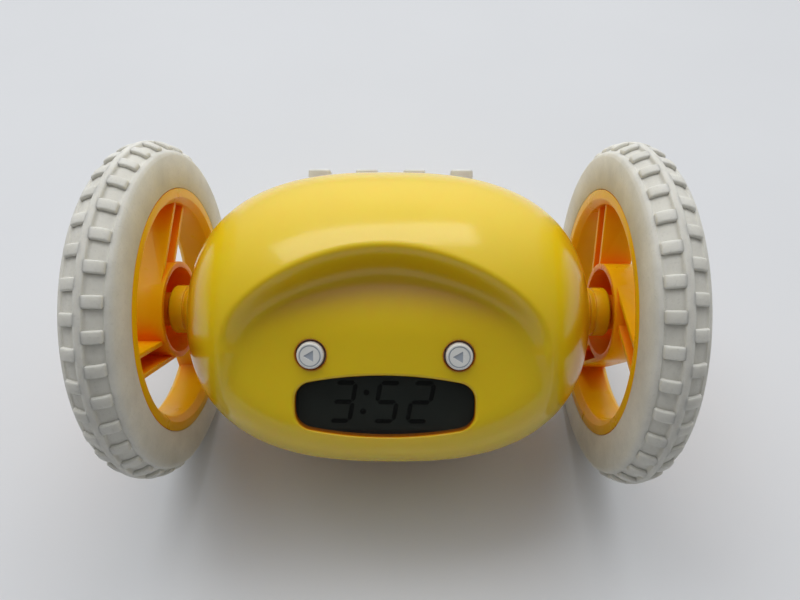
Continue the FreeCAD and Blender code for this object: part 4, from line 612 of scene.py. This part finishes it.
def display_glass():
    """Dark liquid crystal glass, slightly uneven."""
    shade = colours().display_dark
    return mottled(
        "display_glass", (darker(shade, 0.75), shade), (60, 2), (0.3, 0.4), handled=(700, 3),
        bumps=((0.000003, 5000, 2),), plain={"Specular IOR Level": 0.05}
    )


def numeral_ink():
    """Opaque black segments, slightly uneven under the glass."""
    shade = colours().numeral_black
    return mottled(
        "numeral_ink", (shade, darker(shade, 1.8)), (1200, 3), (0.7, 0.9), plain={"Specular IOR Level": 0.02}
    )


def cell_sleeve():
    """A plain blue sleeve with a metal sheen and light scuffs."""
    shade = colours().cell_blue
    return mottled(
        "cell_sleeve", (shade, darker(shade, 1.7)), (260, 6, 0.7), (0.25, 0.45), spread=(0, 1, 0.35, 0.75),
        plain={"Metallic": 0.35}
    )


def speaker_paper():
    """Black pressed paper and lacquered steel."""
    shade = colours().paper_black
    fibres = (1800, 6, 0.75)
    return mottled(
        "speaker_paper", (shade, darker(shade, 2.2)), fibres, (0.55, 0.8), bumps=((0.00004, *fibres),)
    )


def brushed_metal(name, shade, roughness, stretch):
    """Metal with fine marks drawn out across its stretch, and faint tarnish."""
    material, tree, shader = new_finish(name)
    marks = noise(tree, object_place(tree, stretch), 900, 4, 0.6)
    tarnish = ramp(tree, noise(tree, object_place(tree), 150, 4), 0, 1)
    fill(tree, shader, {
        "Base Color": blend_colours(tree, tarnish, darker(shade, 0.82), shade), "Metallic": 1.0,
        "Roughness": ramp(tree, marks, roughness - 0.08, roughness + 0.10),
    })
    relief(tree, shader, marks, 0.000008)
    return material


def circuit_board():
    """Green lacquer over copper runs and pads."""
    material, tree, shader = new_finish("circuit_board")
    shade = colours().circuit_green
    bricks = shade_node(tree, "TexBrick", {
        "Scale": 420, "Mortar Size": 0.035, "Color1": (*shade, 1), "Color2": (*darker(shade, 0.8), 1),
        "Mortar": (*darker(shade, 2.4), 1), "Vector": object_place(tree, turn=(0, 0, math.radians(45))),
    })
    fill(tree, shader, {
        "Base Color": bricks.outputs["Color"],
        "Roughness": ramp(tree, noise(tree, object_place(tree), 300, 4), 0.28, 0.42),
    })
    relief(tree, shader, bricks.outputs["Fac"], 0.00002)
    return material


def layered_rubber():
    """Connector strips of thin conducting and insulating layers."""
    material, tree, shader = new_finish("layered_rubber")
    shade = colours().strip_grey
    layers = shade_node(tree, "TexWave", {"Scale": 900, "Vector": object_place(tree)}, bands_direction="X")
    fill(tree, shader, {
        "Base Color": blend_colours(tree, layers.outputs["Fac"], shade, darker(shade, 3.0)),
        "Roughness": ramp(tree, layers.outputs["Fac"], 0.6, 0.75, 0, 1),
    })
    return material


def floor_finish():
    """Plain pale paper, clear when seen from below."""
    shade = bpy.context.scene.clock_stage.floor_colour
    material = mottled(
        "floor_paper", (darker(shade, 0.98), shade), (12, 3), (0.85, 0.85), bumps=((0.00001, 1500, 3),)
    )
    tree = material.node_tree
    mix = shade_node(tree, "MixShader", {
        "Fac": shade_node(tree, "NewGeometry").outputs["Backfacing"],
        1: existing(material, "BSDF_PRINCIPLED").outputs["BSDF"],
        2: shade_node(tree, "BsdfTransparent").outputs["BSDF"],
    })
    fill(tree, existing(material, "OUTPUT_MATERIAL"), {"Surface": mix.outputs["Shader"]})
    return material


# ---------------------------------------------------------------- body shells

def shell_curve(sizes, x, inset):
    """Radius of the body at a place along it, inset by a wall."""
    share = min(abs(x) / (sizes.shell_reach - inset), 1.0)
    return (sizes.shell_radius - inset) * (1 - share ** sizes.shell_power) ** (1 / sizes.shell_power)


def scoop_height(sizes, x, y, inset):
    """Height of the scooped face, with its rounded sides, above the split line."""
    sunk = max(0.0, y - sizes.hollow_start)
    floor = sizes.face_level + math.tan(FACE_TILT) * (y - sizes.face_place) - inset
    floor -= sunk * sunk / (2 * sizes.hollow_radius)
    beyond = y - sizes.brow_line
    if beyond >= 0:
        share = math.hypot(x / (sizes.brow_width + inset), beyond / (sizes.brow_arch + inset))
        outside = math.hypot(x, beyond) * (1 - 1 / share) if share > 1 else 0.0
    else:
        outside = abs(x) - sizes.brow_width - inset + sizes.cheek_spread * beyond
    return floor + max(0.0, outside) ** 2 / (2 * sizes.brow_edge)


def shell_spot(sizes, column, row, inset, scooped):
    """A point of the shell's surface for a column along the body and a row round it, both -1 to 1."""
    end = sizes.shell_end - inset
    reach = sizes.shell_reach - inset
    edge = sizes.edge_round
    hole = sizes.collar_hole
    along, onto_cap = column
    lean = math.asin(end / reach) * along
    x = reach * math.sin(lean)
    radius = shell_curve(sizes, x, inset)
    centre = -sizes.shell_drop
    turn, past_edge = row
    gap = 0 if scooped else sizes.split_gap
    if onto_cap:
        far, curl = min(onto_cap, 1.0), max(onto_cap - 1.0, 0.0)
        radius += (hole + edge - radius) * far
        centre *= 1 - far
        if curl and not inset:
            radius -= edge * math.sin(curl * math.pi / 2)
            x -= math.copysign(edge * (1 - math.cos(curl * math.pi / 2)), x)
        elif curl:
            radius -= edge * curl
    first = math.asin(min((edge + gap) / radius, 1.0))
    swing = (math.pi / 2 - first) * turn
    y = centre + radius * math.sin(swing)
    z = radius * math.cos(swing)
    if past_edge:
        curl = past_edge * math.pi / 2
        away = math.copysign(1, turn)
        if inset:
            z -= edge * past_edge
        else:
            y -= away * edge * (1 - math.cos(curl))
            z -= edge * math.sin(curl)
    if not scooped:
        return Vector((x, y, -z))
    if not past_edge:
        scoop = scoop_height(sizes, x, y, inset)
        share = max(sizes.brow_soft - abs(z - scoop), 0.0) / sizes.brow_soft
        z = min(z, scoop) - share * share * sizes.brow_soft / 4
    return Vector((x, y, z))


def shell_lines(count):
    """Places from -1 to 1, even in the middle."""
    return [(2 * index / (count - 1) - 1, 0) for index in range(count)]


def laid_grid(name, across, around):
    """A flat grid, and the column and row that each of its vertices stands for."""
    deselect()
    bpy.ops.mesh.primitive_grid_add(x_subdivisions=len(across) - 1, y_subdivisions=len(around) - 1, size=2)
    piece = added(name)
    spots = []
    for vertex in piece.data.vertices:
        column = across[round((vertex.co.x + 1) / 2 * (len(across) - 1))]
        row = around[round((vertex.co.y + 1) / 2 * (len(around) - 1))]
        spots.append((column, row))
    return piece, spots


def shell_grid(name, scooped, columns=131, rows=201):
    """Half of the body as a closed wall: a grid laid on the body's curve, thickened inwards."""
    sizes = body_sizes()
    ends = CAP_STEPS + tuple(1 + curl for curl in CURLS)
    across = [(-1, cap) for cap in reversed(ends)] + shell_lines(columns) + [(1, cap) for cap in ends]
    around = [(-1, curl) for curl in reversed(CURLS)] + shell_lines(rows) + [(1, curl) for curl in CURLS]
    piece, spots = laid_grid(name, across, around)
    apply_modifier(piece, "SOLIDIFY", thickness=0.01, offset=-1)
    for index, vertex in enumerate(piece.data.vertices):
        inset = sizes.shell_wall if index >= len(spots) else 0
        vertex.co = shell_spot(sizes, *spots[index % len(spots)], inset, scooped)
    return close_up(piece)


def cylinder(name, radius, depth, steps=48):
    deselect()
    bpy.ops.mesh.primitive_cylinder_add(vertices=steps, radius=radius, depth=depth)
    return added(name)


def eye_plug():
    """A cutter for a round hole whose edge is rounded over where it meets the face at height 0."""
    radius = piece_sizes().eye_hole
    outline = [(0.0, 0, -CUT_IN), (radius, 0, -CUT_IN)]
    for step in range(6):
        turn = math.pi / 2 * step / 5
        outline.append((radius + EYE_FLARE * (1 - math.cos(turn)), 0, EYE_FLARE * (math.sin(turn) - 1)))
    outline += [(radius + EYE_FLARE, 0, CUT_OUT), (0.0, 0, CUT_OUT)]
    return spun("eye_plug", outline, 96, (0, 0, 1))


def window_outline(grow):
    """The display opening, grown evenly: arcs above and at the side with a round corner between them."""
    sizes = piece_sizes()
    rise = sizes.window_height - sizes.window_side
    top = (sizes.window_width ** 2 + rise ** 2) / (2 * rise)
    end = (sizes.window_side ** 2 + sizes.window_bow ** 2) / (2 * sizes.window_bow)
    top_y = sizes.window_height - top
    end_x = sizes.window_width + sizes.window_bow - end
    corner = sizes.window_corner
    apart = math.hypot(end_x, top_y)
    along = ((top - corner) ** 2 - (end - corner) ** 2 + apart ** 2) / (2 * apart)
    off = math.sqrt((top - corner) ** 2 - along ** 2)
    unit = Vector((end_x, -top_y)) / apart
    middle = Vector((0, top_y)) + along * unit - off * Vector((-unit.y, unit.x))
    low = math.atan2(middle.y, middle.x - end_x)
    high = math.atan2(middle.y - top_y, middle.x)
    quarter = []
    for centre, radius, first, last, steps in (
        (Vector((end_x, 0)), end + grow, 0.0, low, 4),
        (middle, corner + grow, low, high, 12),
        (Vector((0, top_y)), top + grow, high, math.pi / 2, 12),
    ):
        for step in range(steps):
            turn = first + (last - first) * step / steps
            quarter.append((centre.x + radius * math.cos(turn), centre.y + radius * math.sin(turn)))
    quarter.append((0.0, sizes.window_height + grow))
    around = quarter[:-1] + [(-x, y) for x, y in reversed(quarter)][:-1]
    around += [(-x, -y) for x, y in quarter][:-1] + [(x, -y) for x, y in reversed(quarter)][:-1]
    return around


def lens_plug(name, rings):
    """A cutter with the display opening's outline, through rings of (how far grown, height)."""
    up = piece_sizes().window_up
    piece = joined(name, [
        ring(name, [(x, y + up, height) for x, y in window_outline(grow)]) for grow, height in rings
    ])
    in_edit(piece, "EDGE")
    bpy.ops.mesh.bridge_edge_loops()
    out_of_edit()
    return capped(piece)


def build_front_shell():
    sizes = piece_sizes()
    shell = shell_grid("front_shell_moulding", True)
    seated(shell, HULL_FRAME)
    face = face_frame()
    for side in (-1, 1):
        spot = Matrix.Translation((side * sizes.eye_spread, sizes.eye_up, 0))
        combined(shell, seated(eye_plug(), face @ spot))
    bevel = sizes.window_bevel
    edge = [(grow * bevel, height * bevel) for grow, height in WINDOW_EDGE]
    combined(shell, seated(lens_plug("window_plug", [(0, -CUT_IN)] + edge), face))
    smooth(shell)
    return finished(shell, "root", body_plastic(), "front_shell")


def box_piece(name, low, high):
    deselect()
    bpy.ops.mesh.primitive_cube_add(size=1)
    piece = added(name)
    low, high = Vector(low), Vector(high)
    for vertex in piece.data.vertices:
        vertex.co = Vector([low[i] + (vertex.co[i] + 0.5) * (high[i] - low[i]) for i in range(3)])
    return piece


def sleeve_limit():
    """The rear half of the body as one closed piece, a little inside its surface."""
    sizes = body_sizes()
    across = [(-1, 1.0)] + shell_lines(41) + [(1, 1.0)]
    piece, spots = laid_grid("sleeve_limit", across, shell_lines(61))
    for vertex, (column, row) in zip(piece.data.vertices, spots):
        vertex.co = shell_spot(sizes, column, row, 0, False) * SLEEVE_LIMIT
    return capped(piece)


def on_case_screws(name, radius, top, length, steps=48):
    """A cylinder on the line of each case screw, from its top down."""
    sizes = piece_sizes()
    return joined(name, [
        seated(
            cylinder(name, radius, length, steps),
            Matrix.Translation((side * sizes.case_post_x, y, top - length / 2))
        )
        for side in (-1, 1) for y in (sizes.case_post_top, -sizes.case_post_low)
    ])


def sound_cuts():
    """The speaker's field of holes: one in the middle and two rings round it."""
    sizes = piece_sizes()
    axis = Matrix.Rotation(-sizes.sound_angle, 4, "X")
    holes = []
    for ring_index, count in enumerate((1, 6, 12)):
        out = ring_index * sizes.sound_pitch
        for index in range(count):
            turn = math.tau * index / count
            spot = (out * math.cos(turn), out * math.sin(turn), body_sizes().shell_radius)
            hole = cylinder("sound_cut", sizes.sound_hole, SOUND_CUT, 24)
            holes.append(seated(hole, axis @ Matrix.Translation(spot)))
    return joined("sound_cuts", holes)


def build_rear_shell():
    sizes = piece_sizes()
    radius = body_sizes().shell_radius
    seat = -sizes.case_seat
    shell = shell_grid("rear_shell_moulding", False)
    sleeves = on_case_screws("sleeves", SLEEVE_RADIUS, seat + SLEEVE_FLOOR, SLEEVE_LENGTH)
    combined(sleeves, sleeve_limit(), "INTERSECT")
    combined(shell, box_piece(
        "panel_cut", (-sizes.panel_width, radius / 2, -sizes.panel_depth),
        (sizes.panel_width, 2 * radius, PANEL_CUT)
    ))
    door = box_piece(
        "door_cut", (-sizes.door_width, -sizes.door_front - sizes.door_reach, -2 * radius),
        (sizes.door_width, -sizes.door_front + sizes.door_reach, -DOOR_TOP)
    )
    combined(shell, seated(door, Matrix.Rotation(-BODY_TILT, 4, "X")))
    combined(shell, sound_cuts())
    for piece in (shell, sleeves):
        combined(piece, on_case_screws("wells", sizes.case_hole, seat, WELL_LENGTH))
    combined(sleeves, on_case_screws("threads", THREAD_RADIUS, seat + THREAD_LENGTH / 2, THREAD_LENGTH, 24))
    shell = joined("rear_shell_moulding", [sleeves, shell])
    seated(shell, HULL_FRAME)
    smooth(shell)
    return finished(shell, "root", body_plastic(), "rear_shell")


# ---------------------------------------------------------------- display window

def build_window():
    """The clear window: a pane that fills the opening, with a rim behind the shell."""
    sizes = piece_sizes()
    back = -body_sizes().shell_wall - RIM_PLAY
    front = -sizes.window_sink
    pane = lens_plug("lcd_window_moulding", (
        (sizes.window_lip, back - WINDOW_RIM), (sizes.window_lip, back - RIM_STEP), (-WINDOW_PLAY, back),
        (-WINDOW_PLAY, front - WINDOW_CHAMFER), (-WINDOW_PLAY - WINDOW_CHAMFER, front)
    ))
    seated(pane, face_frame())
    smooth(pane)
    return finished(pane, "root", smoked_window(), "lcd_window")


# ---------------------------------------------------------------- wheels

def crown(away, sunk=0.0):
    """Radius of the domed tread at a place away from the tyre's middle, sunk below its top."""
    across = piece_sizes().crown_radius
    return TREAD_RADIUS - across + math.sqrt((across - sunk) ** 2 - away ** 2)


def tread_bar():
    """One tread bar on the right of the middle of a tyre, bent to the dome of the tread."""
    sizes = piece_sizes()
    deselect()
    bpy.ops.mesh.primitive_grid_add(x_subdivisions=5, y_subdivisions=1, size=2)
    bar = added("tread_bar")
    flat = [tuple(vertex.co) for vertex in bar.data.vertices]
    apply_modifier(bar, "SOLIDIFY", thickness=0.01, offset=-1)
    inner, outer = sizes.tread_rib / 2, sizes.bar_end
    for index, vertex in enumerate(bar.data.vertices):
        share, beside, _ = flat[index % len(flat)]
        out = inner + (outer - inner) * (share + 1) / 2
        sunk = BAR_BELOW if index < len(flat) else sizes.tread_depth + BAR_ROOT
        vertex.co = (out, beside * sizes.bar_width / 2, crown(out, sunk))
    close_up(bar)
    apply_modifier(
        bar, "BEVEL", width=sizes.bar_round, segments=3, limit_method="ANGLE", angle_limit=math.radians(40)
    )
    return bar


def tyre_outline():
    """The tyre's outline as (place off the centre plane, radius), from its domed tread to its seat."""
    sizes = piece_sizes()
    middle = (TYRE_NEAR + TYRE_FAR) / 2
    half = (TYRE_FAR - TYRE_NEAR) / 2
    dip, rib, depth = sizes.shoulder_dip, sizes.tread_rib, sizes.tread_depth
    valley = sizes.bar_end + TYRE_STEP
    halfway = [(half, sizes.bead_radius + TYRE_EDGE), (half, crown(half, dip) - TYRE_EDGE)]
    halfway.append((half - 0.6 * TYRE_EDGE, crown(half, dip)))
    for away in (half - 3.5 * TYRE_STEP, half - 7 * TYRE_STEP):
        halfway.append((away, crown(away, dip)))
    halfway.append((valley - TYRE_STEP, crown(valley, dip) - TYRE_EDGE))
    halfway.append((valley - 2 * TYRE_STEP, crown(valley, 0.7 * depth)))
    floor_end = valley - 5 * TYRE_STEP
    for step in range(7):
        away = floor_end + (rib + TYRE_EDGE - floor_end) * step / 6
        halfway.append((away, crown(away, depth)))
    halfway += [(rib, crown(rib, depth) + TYRE_EDGE), (rib, crown(rib) - TYRE_EDGE)]
    halfway.append((rib - TYRE_EDGE, crown(rib - TYRE_EDGE)))
    outline = [(middle - away, radius) for away, radius in halfway]
    outline += [(middle + away, radius) for away, radius in reversed(halfway)]
    bead, seat, lip = sizes.bead_radius, sizes.seat_radius, sizes.rim_lip
    outline += [(TYRE_FAR - TYRE_EDGE, bead), (TYRE_FAR - lip, bead), (TYRE_FAR - lip, seat)]
    outline += [(TYRE_NEAR + lip, seat), (TYRE_NEAR + lip, bead), (TYRE_NEAR + TYRE_EDGE, bead)]
    return outline


def build_tyre(side_name):
    """A tyre turned from its outline, with one tread bar copied round it in two staggered rows."""
    sizes = piece_sizes()
    side = -1 if side_name == "left" else 1
    outline = [(side * place, radius, 0) for place, radius in tyre_outline()]
    carcass = spun(side_name + "_tyre_carcass", outline, 228, (1, 0, 0))
    to_middle = Matrix.Translation((side * (TYRE_NEAR + TYRE_FAR) / 2, 0, 0))
    bar = tread_bar()
    bars = []
    for row, share in ((-1, 0.0), (1, 0.5)):
        flipped = row * side < 0
        flip = Matrix.Scale(-1, 4, (1, 0, 0)) if flipped else Matrix.Identity(4)
        for index in range(sizes.tread_bars):
            copy = bar.copy()
            copy.data = bar.data.copy()
            bpy.context.scene.collection.objects.link(copy)
            turn = math.tau * (index + share) / sizes.tread_bars
            copy.data.transform(Matrix.Rotation(turn - math.pi / 2, 4, "X") @ to_middle @ flip)
            if flipped:
                copy.data.flip_normals()
            bars.append(copy)
    bpy.data.objects.remove(bar)
    tyre = joined(side_name + "_tyre_rubber", bars + [carcass])
    tread_turn = sizes.left_tread_turn if side < 0 else sizes.right_tread_turn
    seated(tyre, HULL_FRAME @ Matrix.Rotation(tread_turn, 4, "X"))
    smooth(tyre, 50)
    return finished(tyre, side_name + "_wheel", tyre_rubber(), side_name + "_tyre")


# ---------------------------------------------------------------- buttons

def marked_button(node):
    """A slightly slimmer copy of a button whose engraved mark is painted."""
    sizes = piece_sizes()
    source, piece = copied(node)
    piece.matrix_world = source.matrix_world
    to_face = face_frame().inverted() @ source.matrix_world
    back_again = to_face.inverted()
    spots = [to_face @ vertex.co for vertex in piece.data.vertices]
    top = max(spot.z for spot in spots)
    middle_x = math.copysign(sizes.eye_spread, spots[0].x)
    for vertex, spot in zip(piece.data.vertices, spots):
        spot.x = middle_x + (spot.x - middle_x) * sizes.eye_slim
        spot.y = sizes.eye_up + (spot.y - sizes.eye_up) * sizes.eye_slim
        vertex.co = back_again @ spot
    finished(piece, source["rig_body"], white_plastic(), node)
    piece.data.materials.append(moulded_plastic("mark_paint", colours().button_mark, 0.45, 0.00001, 0.85))
    for face in piece.data.polygons:
        faces_out = (to_face.to_3x3() @ face.normal).z > 0.9
        if faces_out and MARK_DEPTHS[0] < top - (to_face @ face.center).z < MARK_DEPTHS[1]:
            face.material_index = 1
    return piece


# ---------------------------------------------------------------- operators

class CLOCK_OT_shells(bpy.types.Operator):
    """Model the scooped front shell and the plain rear shell"""

    bl_idname = "clock.shells"
    bl_label = "Body shells"

    def execute(self, context):
        build_front_shell()
        build_rear_shell()
        return {"FINISHED"}


class CLOCK_OT_panels(bpy.types.Operator):
    """Round the edges of the key panel, the battery door and the collars"""

    bl_idname = "clock.panels"
    bl_label = "Panels and collars"

    def execute(self, context):
        fine = piece_sizes().fine_edge
        for node in ("key_panel", "battery_door"):
            rounded_copy(node, body_plastic(), 1.6 * fine)
        for side in ("left", "right"):
            rounded_copy(side + "_axle_collar", collar_plastic(), fine)
        return {"FINISHED"}


class CLOCK_OT_tyres(bpy.types.Operator):
    """Model both tyres with their staggered tread bars"""

    bl_idname = "clock.tyres"
    bl_label = "Tyres"

    def execute(self, context):
        for side in ("left", "right"):
            build_tyre(side)
        return {"FINISHED"}


class CLOCK_OT_hubs(bpy.types.Operator):
    """Round the edges of both wheel hubs and their caps"""

    bl_idname = "clock.hubs"
    bl_label = "Hubs"

    def execute(self, context):
        sizes = piece_sizes()
        for side in ("left", "right"):
            rounded_copy(side + "_wheel_hub", hub_plastic(), sizes.soft_edge)
            rounded_copy(side + "_hub_cap", hub_plastic(), sizes.fine_edge)
        return {"FINISHED"}


class CLOCK_OT_buttons(bpy.types.Operator):
    """Slim the eye buttons, paint their marks and round the rear keys"""

    bl_idname = "clock.buttons"
    bl_label = "Buttons and keys"

    def execute(self, context):
        fine = piece_sizes().fine_edge
        for side in ("left", "right"):
            marked_button(side + "_eye_button")
        for key in ("hour", "minute", "alarm", "time"):
            rounded_copy(key + "_key", key_silicone(), 4 * fine, 3)
        return {"FINISHED"}


class CLOCK_OT_display(bpy.types.Operator):
    """Model the window, and dress the display, its frame and its numerals"""

    bl_idname = "clock.display"
    bl_label = "Display"

    def execute(self, context):
        build_window()
        dress("lcd_cell", display_glass())
        dress("lcd_digits", numeral_ink())
        dress("lcd_frame", frame_plastic())
        dress("lcd_connector_strips", layered_rubber())
        return {"FINISHED"}


class CLOCK_OT_works(bpy.types.Operator):
    """Dress the gear boxes, motors, boards, cells, speaker and screws inside the body"""

    bl_idname = "clock.works"
    bl_label = "Works"

    def execute(self, context):
        steel, bronze = colours().steel_grey, colours().bronze_brown
        # A name that starts with _ is a node on each side.
        groups = (
            (brushed_metal("plated_steel", steel, 0.32, (1, 6, 6)),
             "board_screws case_screws gearbox_screws _wheel_screw _axle _idler_pin"),
            (brushed_metal("sintered_bronze", bronze, 0.45, (4, 4, 4)), "_axle_bush _motor_pinion"),
            (brushed_metal("nickel_spring", steel, 0.25, (2, 2, 2)), "battery_springs battery_contacts"),
            (brushed_metal("motor_can", steel, 0.28, (12, 1, 1)), "_motor"),
            (circuit_board(), "main_board key_board"),
            (moulded_plastic("chip_package", colours().chip_black, 0.55, 0.00002, 0.8),
             "controller_chip eye_switches key_switches"),
            (gear_plastic(), "_drive_gear _idler_gear"),
            (frame_plastic(), "battery_tray _gear_frame _gear_cover"),
            (cell_sleeve(), "cell_1 cell_2 cell_3 cell_4"),
            (speaker_paper(), "speaker"),
        )
        for finish, nodes in groups:
            for node in nodes.split():
                for side in ("left", "right") if node[0] == "_" else ("",):
                    dress(side + node, finish)
        return {"FINISHED"}


class CLOCK_OT_stage(bpy.types.Operator):
    """Set up the camera, the lamp, the room and the pale floor"""

    bl_idname = "clock.stage"
    bl_label = "Stage"

    def execute(self, context):
        build_stage(context.scene)
        return {"FINISHED"}


PIECES = (
    CLOCK_OT_shells, CLOCK_OT_panels, CLOCK_OT_tyres, CLOCK_OT_hubs, CLOCK_OT_buttons, CLOCK_OT_display,
    CLOCK_OT_works, CLOCK_OT_stage,
)


class CLOCK_PT_sidebar(bpy.types.Panel):
    """Lists the steps that dress the clock"""

    bl_idname = "CLOCK_PT_sidebar"
    bl_label = "Runaway alarm clock"
    bl_space_type = "VIEW_3D"
    bl_region_type = "UI"
    bl_category = "Clock"

    def draw(self, context):
        for operator in PIECES:
            self.layout.operator(operator.bl_idname)


# ---------------------------------------------------------------- stage

def pale_room(stage):
    """A room that is bright above and behind, and plain where the camera sees it."""
    world = bpy.data.worlds.new("pale_room")
    world.use_nodes = True
    tree = world.node_tree
    tree.nodes.clear()
    height = shade_node(tree, "SeparateXYZ", {"Vector": object_place(tree, turn=(stage.room_lean, 0, 0))})
    share = ramp(tree, height.outputs["Z"], 0, 1, -0.2, 0.95)
    steep = shade_node(tree, "Math", {0: share, 1: 3.0}, operation="POWER")
    light = ramp(tree, steep.outputs["Value"], stage.room_dim, stage.room_bright, 0, 1)
    mix = shade_node(tree, "MixShader", {
        "Fac": shade_node(tree, "LightPath").outputs["Is Camera Ray"],
        1: shade_node(tree, "Background", {"Color": ROOM_TINT, "Strength": light}).outputs["Background"],
        2: shade_node(tree, "Background", {"Color": (*stage.floor_colour, 1)}).outputs["Background"],
    })
    shade_node(tree, "OutputWorld", {"Surface": mix.outputs["Shader"]})
    return world


def placed(name, data, placement):
    """A camera or lamp at its place."""
    item = bpy.data.objects.new(name, data)
    bpy.context.scene.collection.objects.link(item)
    item.matrix_world = placement
    return item


def build_stage(scene):
    stage = scene.clock_stage
    deselect()
    bpy.ops.mesh.primitive_plane_add(size=FLOOR_SIZE, location=(0, 0, 0))
    floor = added("pale_floor")
    floor.data.materials.append(floor_finish())
    scene.world = pale_room(stage)

    lamp = bpy.data.lights.new("key_lamp", "AREA")
    lamp.shape = "RECTANGLE"
    lamp.size, lamp.size_y = LAMP_SIZE
    lamp.energy = stage.key_power
    aim = (Vector(LAMP_PLACE) - Vector(LAMP_AIM)).to_track_quat("Z", "Y").to_matrix().to_4x4()
    placed("key_lamp", lamp, Matrix.Translation(LAMP_PLACE) @ aim)

    lens = bpy.data.cameras.new("view_camera")
    lens.lens = stage.lens
    lens.sensor_width = 36.0
    lens.clip_start = 0.01
    scene.camera = placed("view_camera", lens, (
        HULL_FRAME @ Matrix.Translation((stage.camera_right, stage.camera_up, stage.camera_back))
        @ Matrix.Rotation(stage.camera_yaw, 4, "Y") @ Matrix.Rotation(stage.camera_roll, 4, "Z")
    ))
    scene.view_settings.view_transform = "Standard"


# ---------------------------------------------------------------- add-on

CLASSES = GROUPS + PIECES + (CLOCK_PT_sidebar,)


def register():
    for kind in CLASSES:
        bpy.utils.register_class(kind)
    for slot, group in zip(SLOTS, GROUPS):
        setattr(bpy.types.Scene, slot, bpy.props.PointerProperty(type=group))


def unregister():
    for slot in SLOTS:
        delattr(bpy.types.Scene, slot)
    for kind in reversed(CLASSES):
        bpy.utils.unregister_class(kind)


def main():
    register()
    bpy.ops.clock.shells()
    bpy.ops.clock.panels()
    bpy.ops.clock.tyres()
    bpy.ops.clock.hubs()
    bpy.ops.clock.buttons()
    bpy.ops.clock.display()
    bpy.ops.clock.works()
    bpy.ops.clock.stage()


if __name__ == "__main__":
    main()
